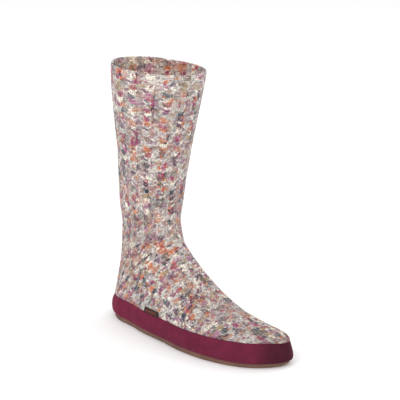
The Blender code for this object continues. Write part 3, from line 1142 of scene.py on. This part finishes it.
@dataclass(frozen=True)
class LabelWeave:
    """Dark ribbon with a row of plain rust bars and no lettering."""

    ground: Colour = (44, 38, 30)
    rust: Colour = (122, 48, 34)
    bars: float = 7.0
    warps: float = 60.0
    wefts: float = 16.0

    def material(self) -> bpy.types.Material:
        """Build the ribbon's material.

        Returns:
            The material.
        """
        graph = Graph("woven_label")
        along, up = graph.uv("label")
        in_bar = graph.window((along * self.bars).part(), 0.16, 0.84, 0.06)
        in_row = graph.window(up, 0.24, 0.74, 0.06)
        in_field = graph.window(along, 0.08, 0.92, 0.02)
        weave = (along * (2.0 * math.pi * self.warps)).sine() * (up * (2.0 * math.pi * self.wefts)).sine()
        colour = graph.mix(in_bar * in_row * in_field, linear(self.ground), linear(self.rust))
        # Painted shade in the weave's hollows and a painted highlight on its crests, following the bump's
        # wave.
        colour = graph.shade(colour, graph.span(weave, -1.0, 1.0, 0.75, 1.2))
        return graph.finish(colour, 0.72, graph.bump(weave, 0.0002, 0.6), Specular_IOR_Level=0.3)


@dataclass(frozen=True)
class Crease:
    """A soft trough or swell of the knit.

    x and z place it in the side view, along and over are its half lengths, angle turns it in degrees,
    and side is -1 on the outer and 1 on the inner side of the sock.
    """

    x: float
    z: float
    along: float
    over: float
    angle: float
    height: float
    side: float
    facing: tuple[float, float] = (-0.012, 0.010)

    def rise(self, grid: np.ndarray) -> np.ndarray:
        """Height that the crease adds at points of shape (rows, columns, 3).

        Args:
            grid: Points, counted from the heel's end.

        Returns:
            Heights of shape (rows, columns).
        """
        turn = math.radians(self.angle)
        ahead, up = grid[..., 0] - self.x, grid[..., 2] - self.z
        far = ahead * math.cos(turn) + up * math.sin(turn)
        off = up * math.cos(turn) - ahead * math.sin(turn)
        facing = soft_step(grid[..., 1] * self.side, *self.facing)
        return self.height * np.exp(-(far / self.along) ** 2 - (off / self.over) ** 2) * facing


CREASES = (
    Crease(0.108, 0.128, 0.024, 0.0045, -18.0, -0.0011, -1.0),
    Crease(0.104, 0.116, 0.020, 0.0050, -26.0, 0.0008, -1.0),
    Crease(0.110, 0.105, 0.022, 0.0050, -34.0, -0.0009, -1.0),
    Crease(0.106, 0.126, 0.022, 0.0050, -14.0, -0.0010, 1.0),
    Crease(0.110, 0.110, 0.022, 0.0050, -30.0, -0.0009, 1.0),
    Crease(0.016, 0.112, 0.020, 0.0060, 24.0, -0.0009, -1.0),
    Crease(0.018, 0.100, 0.018, 0.0060, 30.0, 0.0006, 1.0),
    Crease(0.045, 0.205, 0.030, 0.0100, 8.0, -0.0007, -1.0),
    Crease(0.060, 0.172, 0.028, 0.0090, -6.0, -0.0006, 1.0),
    Crease(0.150, 0.062, 0.020, 0.0060, -58.0, -0.0006, -1.0))


@dataclass
class KnitUpper:
    """The knitted tube: ribbed leg, plain foot, soft rolled collar and the wall's back."""

    last: Last
    # Stitches: counts and pitch
    wales: int = 112
    wales_per_rib: int = 7
    knit_wales: int = 3
    samples_per_wale: int = 4
    rows_per_course: int = 2
    course_pitch: float = 0.00178
    # Relief of ribs, columns and courses
    rib_height: float = 0.00030
    column_height: float = 0.00036
    course_height: float = 0.00022
    rib_edge: tuple[float, float] = (0.6, -0.4)
    column_groove: float = 0.25
    column_middle: float = 0.7
    purl_flatness: float = 0.7
    course_shares: tuple[float, float] = (0.5, 0.9)
    # Arcs in which the courses hang between the ribs
    course_sag: float = 1.05
    sag_middle: float = 0.4
    # Where the ribs end below, where the forefoot begins, and how far the collar and the band reach
    rib_span: tuple[float, float] = (0.112, 0.128)
    collar_courses: float = 6.0
    front_span: tuple[float, float] = (0.155, 0.200)
    rim_fade: tuple[float, float] = (0.0, 0.004)
    # The collar's edge at the back
    back_lift: float = 0.0012
    back_span: tuple[float, float] = (0.45, 0.95)
    # The tip of the toe, where the wales meet
    tip_span: tuple[float, float] = (0.2476, 0.2498)
    tip_courses: float = 8.0
    tip_step: float = 0.2
    tip_gap: float = 0.0003
    tip_width: float = 0.02
    # Share of the relief that is left at the band and at the collar
    rim_relief: float = 0.2
    collar_relief: float = 0.35
    # The lip, the pieces of the outer face and the wall's back
    lip_turns: int = 7
    lip_courses: float = 1.6
    piece_shares: tuple[float, ...] = (0.0, 0.34, 0.66)
    inner_samples_per_wale: int = 2
    inner_relief: float = 0.5
    # Stretch of a course at which its stitches double, and the level below which the band hides the knit
    doubling: float = 1.45
    lowest: float = 0.018
    pieces: list[bpy.types.Object] = field(default_factory=list)

    def surface(self, inset: float, floor: float, columns: int,
                rows_per_course: float) -> tuple[np.ndarray, np.ndarray]:
        """Even grid of points on the form.

        Args:
            inset: Inset of the face from the sole's outline.
            floor: Level at which the sections end below.
            columns: Points round each row.
            rows_per_course: Rows to each course along the front line.

        Returns:
            The grid of shape (rows, columns, 3) and the course number of each row.
        """
        rings = Sections(self.last, inset, floor).cast()
        tip = rings[-1:].copy()
        middle = self.last.centre(tip[..., 0])
        tip[..., 0] += self.tip_gap
        tip[..., 1] = middle + self.tip_width * (tip[..., 1] - middle)
        rings = np.concatenate([rings, tip])
        even = np.stack([even_ring(ring, columns) for ring in rings])
        run = run_along(even[:, 0])
        last_course = run[-1] / self.course_pitch
        dense_from = last_course - self.tip_courses
        courses = np.concatenate([
            np.arange(0.0, dense_from, 1.0 / rows_per_course),
            np.arange(dense_from, last_course - self.tip_step, self.tip_step), [last_course]])
        return smooth_read(run, even, courses * self.course_pitch), courses

    def relief(self, grid: np.ndarray, courses: np.ndarray) -> tuple[np.ndarray, np.ndarray]:
        """Height of the knit's ribs, columns and courses over the form, and the leg's share.

        Args:
            grid: Points of the form.
            courses: Course number of each row.

        Returns:
            Heights and the share of the ribbed leg, both of shape (rows, columns).
        """
        columns = grid.shape[1]
        wale = np.arange(columns) / columns * self.wales
        leg = np.broadcast_to(soft_step(grid[:, :1, 2], *self.rib_span), grid.shape[:2])
        in_rib = wale % self.wales_per_rib
        middle = self.knit_wales / 2.0
        half_rib = self.wales_per_rib / 2.0
        from_rib = np.abs((in_rib - middle + half_rib) % self.wales_per_rib - half_rib)
        raised = soft_step(from_rib - middle, *self.rib_edge)[None, :]
        crest = np.sin(wale * math.pi) ** 2
        column = (1.0 - (1.0 - crest) ** 3 - self.column_groove * crest ** 6)[None, :]
        course = np.abs(np.sin(courses * math.pi))[:, None]
        purl = leg * (1.0 - raised)
        plain, more_on_purl = self.course_shares
        height = (self.rib_height * leg * (raised - 0.5)
                  + self.column_height * (column - self.column_middle) * (1.0 - self.purl_flatness * purl)
                  + self.course_height * (course - 0.5) * (plain + more_on_purl * purl))
        below_edge = soft_step(courses, 0.0, self.collar_courses)[:, None]
        collar = self.collar_relief + (1.0 - self.collar_relief) * below_edge
        above = grid[..., 2] - self.last.rim_level(grid[..., 0], grid[..., 1])
        rim = self.rim_relief + (1.0 - self.rim_relief) * soft_step(above, *self.rim_fade)
        return height * collar * rim, leg

    def sag(self, grid: np.ndarray, courses: np.ndarray, leg: np.ndarray) -> np.ndarray:
        """Let the courses hang in soft arcs between the ribs of the leg.

        Args:
            grid: Points of the form.
            courses: Course number of each row.
            leg: Share of the ribbed leg at each point.

        Returns:
            The points, moved along the form.
        """
        columns = grid.shape[1]
        wale = np.arange(columns) / columns * self.wales
        purl_wales = self.wales_per_rib - self.knit_wales
        part = np.clip((wale % self.wales_per_rib - self.knit_wales) / purl_wales, 0.0, 1.0)
        hang = (4.0 * part * (1.0 - part) - self.sag_middle)[None, :] * self.course_sag * self.course_pitch
        fade = soft_step(courses, 0.0, self.collar_courses)[:, None]
        down = np.gradient(grid, axis=0)
        down /= np.maximum(np.linalg.norm(down, axis=2, keepdims=True), 1e-9)
        return grid + down * (hang * fade * leg)[..., None]

    def lift_rim(self, grid: np.ndarray, courses: np.ndarray) -> np.ndarray:
        """Raise the collar's edge a little at the back, where the wall rolls over softly.

        Args:
            grid: Points of a face.
            courses: Course number of each row.

        Returns:
            The points, moved.
        """
        middle = grid[:, :, :2].mean(axis=1, keepdims=True)
        way = grid[:, :, :2] - middle
        back = -way[..., 0] / np.linalg.norm(way, axis=-1)
        share = soft_step(back, *self.back_span) * soft_step(courses, self.collar_courses, 0.0)[:, None]
        return grid + np.array([0.0, 0.0, self.back_lift]) * share[..., None]

    def stitch_layers(self, grid: np.ndarray, courses: np.ndarray,
                      leg: np.ndarray) -> tuple[np.ndarray, np.ndarray]:
        """Numbers that the yarn's material reads at each face corner.

        Args:
            grid: Points of the face.
            courses: Course number of each row.
            leg: Share of the ribbed leg at each point.

        Returns:
            Wale and course of each corner, and the shares of leg and forefoot, both of shape (faces, 4, 2).
            The share of the forefoot goes on from one to two at the very tip, where the wales meet.
        """
        columns = grid.shape[1]
        wale = np.arange(columns + 1) / columns * self.wales
        first, second = np.meshgrid(courses[:-1], wale[:-1], indexing="ij")
        third, fourth = np.meshgrid(courses[1:], wale[1:], indexing="ij")
        corners = np.stack([np.stack(pair, axis=-1) for pair in (
            (second, first), (second, third), (fourth, third), (fourth, first))], axis=2)
        step = np.linalg.norm(grid[1:] - grid[:-1], axis=2) / (np.diff(courses)[:, None] * self.course_pitch)
        times = np.where(step > 2.0 * self.doubling, 4.0, np.where(step > self.doubling, 2.0, 1.0))
        corners[..., 1] *= times[..., None]
        front = soft_step(grid[..., 0], *self.front_span) + soft_step(grid[..., 0], *self.tip_span)
        zone = np.stack([np.repeat(part[:-1, :, None], 4, axis=2) for part in (leg, front)], axis=-1)
        return corners.reshape(-1, 4, 2), zone.reshape(-1, 4, 2)

    def add_piece(self, name: str, grid: np.ndarray, normals: np.ndarray, layers: tuple[np.ndarray, ...],
                  rows: tuple[int, int], material: bpy.types.Material, inward: bool = False) -> None:
        """Make one piece of the knit from a run of rows.

        Args:
            name: Name of the piece.
            grid: Points of the whole face.
            normals: Normals of the whole face.
            layers: Stitch and zone numbers of the whole face.
            rows: First and last row of the piece.
            material: Finish of the piece.
            inward: True where the face is seen from inside the sock.
        """
        low, high = rows
        columns = grid.shape[1]
        points = grid[low:high + 1].reshape(-1, 3)
        faces = closed_faces(high + 1 - low, columns)
        stitch, zone = (layer[low * columns:high * columns] for layer in layers)
        keep = points[faces][..., 2].max(axis=1) > self.lowest
        faces, stitch, zone = faces[keep], stitch[keep], zone[keep]
        points = np.maximum(points, (-np.inf, -np.inf, self.lowest))
        used, compact = np.unique(faces, return_inverse=True)
        faces = compact.reshape(faces.shape)
        facing = normals[low:high + 1].reshape(-1, 3)[used]
        if inward:
            faces, stitch, zone, facing = faces[:, ::-1], stitch[:, ::-1], zone[:, ::-1], -facing
        obj = link_mesh(name, self.last.to_frame(points[used]), faces)
        add_uv(obj, "stitch", stitch)
        add_uv(obj, "zone", zone)
        obj.data.normals_split_custom_set_from_vertices(facing.astype(np.float32))
        obj.data.materials.append(material)
        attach(obj, "root")
        self.pieces.append(obj)
        log.info("%s: %d faces", name, len(faces))

    def build(self) -> None:
        """Build the outer face in three pieces, the wall's back and the collar's lip."""
        last = self.last
        yarn = MarledYarn(self.wales_per_rib, self.knit_wales)
        face, back = yarn.material(Side.FACE), yarn.material(Side.BACK)
        form, courses = self.surface(last.knit_inset, last.knit_foot, self.wales * self.samples_per_wale,
                                     self.rows_per_course)
        height, leg = self.relief(form, courses)
        outer = self.sag(form, courses, leg)
        facing = grid_normals(form)
        creases = sum(crease.rise(form) for crease in CREASES)
        outer = outer + facing * (height + creases)[..., None] + last.puff_out(form)
        outer = self.lift_rim(outer, courses)
        normals = grid_normals(outer)
        tip = soft_step(outer[..., :1], *self.tip_span)
        normals *= 1.0 - tip
        normals[..., :2] += tip * last.outward(form[..., 0], form[..., 1])[0]
        normals /= np.linalg.norm(normals, axis=2, keepdims=True)
        layers = self.stitch_layers(outer, courses, leg)
        ends = [round(len(courses) * share) for share in self.piece_shares] + [len(courses) - 1]
        for name, low, high in zip(("knit_leg", "knit_ankle", "knit_foot"), ends[:-1], ends[1:]):
            self.add_piece(name, outer, normals, layers, (low, high), face)
        lining, courses = self.surface(last.knit_inset + last.knit_wall, last.knit_foot,
                                       self.wales * self.inner_samples_per_wale, 1.0)
        height, leg = self.relief(lining, courses)
        inner = lining - grid_normals(lining) * (self.inner_relief * height)[..., None]
        inner = self.lift_rim(inner, courses)
        self.add_piece("knit_inside", inner, grid_normals(inner), self.stitch_layers(inner, courses, leg),
                       (0, len(courses) - 1), back, inward=True)
        self.build_lip(outer[0], inner[0], face)
        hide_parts("knit_upper")

    def build_lip(self, outer: np.ndarray, inner: np.ndarray, material: bpy.types.Material) -> None:
        """Close the wall at the collar with a soft rounded lip.

        Args:
            outer: First row of the outer face.
            inner: First row of the wall's back.
            material: Finish of the lip.
        """
        columns = len(outer)
        share = np.arange(columns) / columns * len(inner)
        low = share.astype(int)
        part = (share - low)[:, None]
        matched = inner[low] * (1.0 - part) + inner[(low + 1) % len(inner)] * part
        turns = np.linspace(math.pi, 0.0, self.lip_turns)
        middle, half = 0.5 * (outer + matched), 0.5 * (outer - matched)
        rise = np.array([0.0, 0.0, self.last.rim_round])
        grid = np.stack([middle + half * math.cos(turn) + rise * math.sin(turn) for turn in turns])
        courses = np.linspace(-self.lip_courses, 0.0, len(turns))
        leg = np.ones(grid.shape[:2])
        self.add_piece("knit_collar_edge", grid, grid_normals(grid), self.stitch_layers(grid, courses, leg),
                       (0, len(turns) - 1), material)


@dataclass
class SoleWrap:
    """The suede band round the sole, with a thin top edge, a fold at the arch and soft puckers."""

    last: Last
    # The wall's section
    bulge: float = 0.0020
    sag: float = 0.66
    toe_sag: float = 0.52
    margin_width: float = 0.010
    margin_thickness: float = 0.0016
    edge_round: float = 0.0006
    heel_lean: float = 0.0016
    side_lean: float = 0.0006
    toe_lean: float = 0.0020
    toe_bulge: float = 0.0007
    lap: float = 0.010
    lean_power: float = 1.3
    side_from: float = 0.80
    heel_from: float = 0.66
    heel_span: tuple[float, float] = (0.034, 0.004)
    toe_span: tuple[float, float] = (0.205, 0.250)
    # How finely it is made
    rows: int = 26
    edge_rows: int = 7
    stations: int = 620
    # The fold at the arch
    fold_x: float = 0.158
    fold_width: float = 0.0036
    fold_height: float = 0.00090
    fold_tilt: float = 0.25
    trough_share: float = 0.6
    trough_off: float = 1.7
    # The toe's puckers, and ripples all round as height, waves, phase and twist
    pucker_height: float = 0.00016
    pucker_waves: float = 46.0
    pucker_drift: tuple[float, float] = (2.0, 9.0)
    pucker_span: tuple[float, float] = (0.16, 0.25)
    ripples: tuple[tuple[float, float, float, float], ...] = (
        (0.00012, 17.0, 1.0, 0.0), (0.00009, 31.0, 0.0, 60.0))

    def wall(self, x: np.ndarray, share: float) -> np.ndarray:
        """Inset of the outer face at a share of its height, from the foot up.

        Args:
            x: Places along the sole.
            share: Share of the wall's height.

        Returns:
            Insets from the outline.
        """
        heel, toe = soft_step(x, *self.heel_span), soft_step(x, *self.toe_span)
        sag = self.sag + (self.toe_sag - self.sag) * toe
        swell = (self.bulge + self.toe_bulge * toe) * np.sin(math.pi * share ** sag)
        height = np.array(share)
        side = self.side_lean * (1.0 - heel) * (1.0 - toe) * soft_step(height, self.side_from, 1.0)
        back = self.heel_lean * heel * soft_step(height, self.heel_from, 1.0)
        return side + back + self.toe_lean * toe * share ** self.lean_power - self.last.band_proud - swell

    def back(self, x: np.ndarray) -> np.ndarray:
        """Inset of the inner face at the top edge."""
        behind_edge = self.wall(x, 1.0) + 2.0 * self.edge_round
        return np.maximum(self.last.knit_inset - self.last.knit_gap, behind_edge)

    def swells(self, ring: np.ndarray, side: np.ndarray, share: float) -> np.ndarray:
        """Height over the plain wall, round one row: the fold with its trough, puckers and ripples.

        Args:
            ring: Points (x, y) of the row.
            side: Minus or plus one on the outer or inner side.
            share: Share of the wall's height.

        Returns:
            Heights outward.
        """
        level = share * self.last.band_height
        tilt = self.fold_tilt * (level - 0.5 * self.last.band_height)
        off = (ring[:, 0] - self.fold_x + tilt) / self.fold_width
        fold = np.exp(-off ** 2) - self.trough_share * np.exp(-(off - self.trough_off) ** 2)
        height = self.fold_height * fold * (side < 0.0)
        turn = np.arctan2(ring[:, 1], ring[:, 0] - 0.5 * self.last.sole_length)
        start, end = self.pucker_span
        drift, drift_waves = self.pucker_drift
        near_toe = np.clip((ring[:, 0] - start) / (end - start), 0.0, 1.0)
        puckers = np.sin(self.pucker_waves * turn + drift * np.sin(drift_waves * turn))
        height += self.pucker_height * near_toe * puckers
        for size, waves, phase, twist in self.ripples:
            height += size * np.sin(waves * turn + phase + twist * level)
        return math.sin(math.pi * share) * height

    def row(self, inward: Along, level: Along, swell_share: float = 0.0,
            dip_share: float = 1.0) -> np.ndarray:
        """One row of points round the outline.

        Args:
            inward: Inset of the row, or a function of x that gives it.
            level: Level of the row, or a function of x that gives it.
            swell_share: Share of the wall's height at which the swells are read.
            dip_share: Share of the rim's dip at the big toe.

        Returns:
            Points of shape (n, 3).
        """
        ring, side = self.last.outline_ring(0.0, self.stations)
        x = ring[:, 0]
        inset = inward(x) if callable(inward) else inward
        ring = self.last.push_out(ring, self.swells(ring, side, swell_share) - inset)
        height = level(x) if callable(level) else level
        dip = self.last.toe_drop * self.last.outward(ring[:, 0], ring[:, 1])[2] * dip_share
        return np.column_stack([ring, height - dip])

    def build(self) -> None:
        """Sweep the section round the outline."""
        last = self.last
        top = last.band_height
        shoulder = top - self.edge_round
        grid = [self.row(self.back, top - self.lap), self.row(self.back, shoulder)]
        for turn in np.linspace(math.pi, 0.0, self.edge_rows + 2)[1:-1]:
            part, lift = 0.5 * (1.0 + math.cos(turn)), self.edge_round * math.sin(turn)
            grid.append(self.row(lambda x: self.back(x) + (self.wall(x, 1.0) - self.back(x)) * part,
                                 shoulder + lift))
        for share in np.linspace(1.0, 0.0, self.rows):
            grid.append(self.row(lambda x: self.wall(x, share),
                                 lambda x: last.foot_level(x) + share * (shoulder - last.foot_level(x)),
                                 share, share))
        margin = last.band_wall + self.margin_width
        for lift in (0.0, self.margin_thickness):
            grid.append(self.row(margin, lambda x: last.foot_level(x) + lift, dip_share=0.0))
        obj = sweep("suede_band", last, grid, Suede().material())
        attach(obj, "root")
        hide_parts("sole_wrap")


@dataclass
class SoleEdge:
    """The upturned rim of the rubber, which stands round the outsole and meets the band.

    Its two profiles hold insets beyond the rim's own and heights, from the top down: the upper one under the
    band's foot, the lower one over the ground.
    """

    last: Last
    inset: float = 0.00142
    seat: float = 0.0001
    upper: tuple[tuple[float, float], ...] = ((0.0022, 0.0), (0.0007, 0.0), (0.0002, -0.0001), (0.0, -0.0005))
    lower: tuple[tuple[float, float], ...] = ((0.0, 0.0011), (0.0003, 0.0007), (0.0008, 0.0004))
    stations: int = 520

    def build(self) -> None:
        """Sweep the rim's section round the outline."""
        last = self.last
        ring, _ = last.outline_ring(0.0, self.stations)
        x = ring[:, 0]
        grid = []
        bases = last.foot_level(x) - self.seat, last.ground_rise(x)
        for profile, base in zip((self.upper, self.lower), bases):
            for inward, up in profile:
                grid.append(np.column_stack([last.push_out(ring, -self.inset - inward), base + up]))
        obj = sweep("rubber_rim", last, grid, SoleRubber().material())
        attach(obj, "root")


@dataclass
class SideLabel:
    """A small folded ribbon label on the outer side, lying on the knit above the band."""

    last: Last
    width: float = 0.024
    height: float = 0.0058
    thickness: float = 0.0010
    place: float = 0.096
    gap: float = 0.00045
    fit_gap: float = 0.0003
    curl: float = 0.0003
    columns: int = 40
    turns: int = 8
    leg_shares: tuple[float, ...] = (0.75, 0.5, 0.25, 0.0)

    def build(self) -> None:
        """Sweep the ribbon's section, with its fold on top, along the knit."""
        last = self.last
        x = self.place + np.linspace(-0.5, 0.5, self.columns) * self.width
        low = last.band_height + self.fit_gap
        section: list[tuple[float, float]] = [(0.0, 0.0)]
        fold = 0.5 * self.thickness
        for turn in np.linspace(0.0, math.pi, self.turns):
            section.append((self.height - fold + fold * math.sin(turn), fold - fold * math.cos(turn)))
        section += [(share * (self.height - fold), self.thickness) for share in self.leg_shares]
        rows = []
        for up, out in section:
            level = np.full_like(x, low + up)
            half = np.sqrt(last.width_squared(x, level, last.knit_inset))
            curl = self.curl * np.abs(np.linspace(-1.0, 1.0, self.columns)) ** 3 * (out / self.thickness)
            y = last.form_centre(x, level) - half - self.gap - out - curl
            rows.append(np.column_stack([x, y, level]))
        grid = np.stack(rows)
        grid += last.puff_out(grid)
        count, columns = grid.shape[:2]
        row, column = np.meshgrid(np.arange(count), np.arange(columns - 1), indexing="ij")
        here, after = row * columns + column, (row + 1) % count * columns + column
        faces = np.stack([here, here + 1, after + 1, after], axis=-1).reshape(-1, 4)
        caps = columns * np.array([[part, part + 1, count - 2 - part, count - 1 - part]
                                   for part in range(count // 2 - 1)])
        faces = np.concatenate([faces, caps, caps[:, ::-1] + columns - 1])[:, ::-1]
        obj = link_mesh("ribbon_label", last.to_frame(grid.reshape(-1, 3)), faces)
        along = (grid[..., 0].ravel() - x[0]) / self.width
        up = (grid[..., 2].ravel() - low) / self.height
        add_uv(obj, "label", np.stack([along, up], axis=-1)[faces])
        obj.data.materials.append(LabelWeave().material())
        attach(obj, "root")
        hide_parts("side_label")
        log.info("ribbon_label: %d faces", len(faces))


@dataclass
class SoleSet:
    """The outsole and the footbed, kept as the solids are and given their finish."""

    def dress(self) -> None:
        """Put the finishes on the two solids."""
        for node, material in (("outsole", SoleRubber().material()), ("footbed", FootbedCloth().material())):
            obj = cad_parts[node]
            for slot in obj.material_slots:
                slot.material = material
            log.info("%s: finished", node)


@dataclass
class Studio:
    """Pale floor, soft lights and the camera of the photograph."""

    target: tuple[float, float, float] = (0.0515, 0.0, 0.130)
    azimuth: float = math.radians(48.2)
    elevation: float = math.radians(16.2)
    distance: float = 1.5
    lens: float = 122.04
    sensor: float = 36.0
    shift: tuple[float, float] = (0.06625, 0.04625)
    clip: tuple[float, float] = (0.05, 50.0)
    floor_size: float = 12.0
    floor_colour: Colour = (250, 250, 250)
    lights: tuple[tuple[str, tuple[float, float, float], float, float], ...] = (
        ("key_light", (0.5, -1.7, 1.6), 1.3, 14.2),
        ("fill_light", (1.7, -0.7, 1.1), 1.4, 5.0),
        ("rear_light", (0.2, 1.7, 1.5), 1.3, 6.0))

    def build(self) -> None:
        """Make the floor, the world, the lights and the camera."""
        self.add_floor()
        self.add_world()
        for light in self.lights:
            self.add_light(*light)
        self.add_camera()
        log.info("studio: ready")

    def add_floor(self) -> None:
        """Lay a white floor under the sole."""
        half = 0.5 * self.floor_size
        points = np.array([(-half, -half, 0.0), (half, -half, 0.0), (half, half, 0.0), (-half, half, 0.0)])
        floor = link_mesh("floor", points, np.array([[0, 1, 2, 3]]))
        graph = Graph("floor_white")
        normal = graph.bump(graph.noise(graph.place(), 40.0), 0.0001, 0.05)
        material = graph.finish(linear(self.floor_colour), 0.9, normal, Specular_IOR_Level=0.1)
        floor.data.materials.append(material)

    def add_world(self) -> None:
        """Light the scene from all round with an even white."""
        world = bpy.data.worlds.new("studio_world")
        world.use_nodes = True
        background = world.node_tree.nodes["Background"]
        background.inputs["Color"].default_value = (1.0, 1.0, 1.0, 1.0)
        background.inputs["Strength"].default_value = 1.0
        bpy.context.scene.world = world
        bpy.context.scene.view_settings.view_transform = "Standard"

    def add_light(self, name: str, at: tuple[float, float, float], size: float, power: float) -> None:
        """Hang a soft square light that points at the sock.

        Args:
            name: Name of the light.
            at: Where it hangs.
            size: Length of its side.
            power: Its power in watts.
        """
        data = bpy.data.lights.new(name, "AREA")
        data.shape, data.size, data.energy = "SQUARE", size, power
        light = bpy.data.objects.new(name, data)
        light.location = at
        light.rotation_euler = (Vector(self.target) - Vector(at)).to_track_quat("-Z", "Y").to_euler()
        bpy.context.scene.collection.objects.link(light)

    def add_camera(self) -> None:
        """Place the camera as fitted to the photograph."""
        data = bpy.data.cameras.new("photo_camera")
        data.lens, data.sensor_width = self.lens, self.sensor
        data.shift_x, data.shift_y = self.shift
        data.clip_start, data.clip_end = self.clip
        camera = bpy.data.objects.new("photo_camera", data)
        level = math.cos(self.elevation)
        back = Vector((math.sin(self.azimuth) * level, -math.cos(self.azimuth) * level,
                       math.sin(self.elevation)))
        camera.location = Vector(self.target) + self.distance * back
        camera.rotation_euler = (-back).to_track_quat("-Z", "Y").to_euler()
        bpy.context.scene.collection.objects.link(camera)
        bpy.context.scene.camera = camera


def main() -> None:
    """Build the looks in order: knit, band, label, soles and studio."""
    logging.basicConfig(level=logging.INFO, format="%(name)s %(message)s")
    last = Last()
    KnitUpper(last).build()
    SoleWrap(last).build()
    SoleEdge(last).build()
    SideLabel(last).build()
    SoleSet().dress()
    Studio().build()


if __name__ == "__main__":
    main()
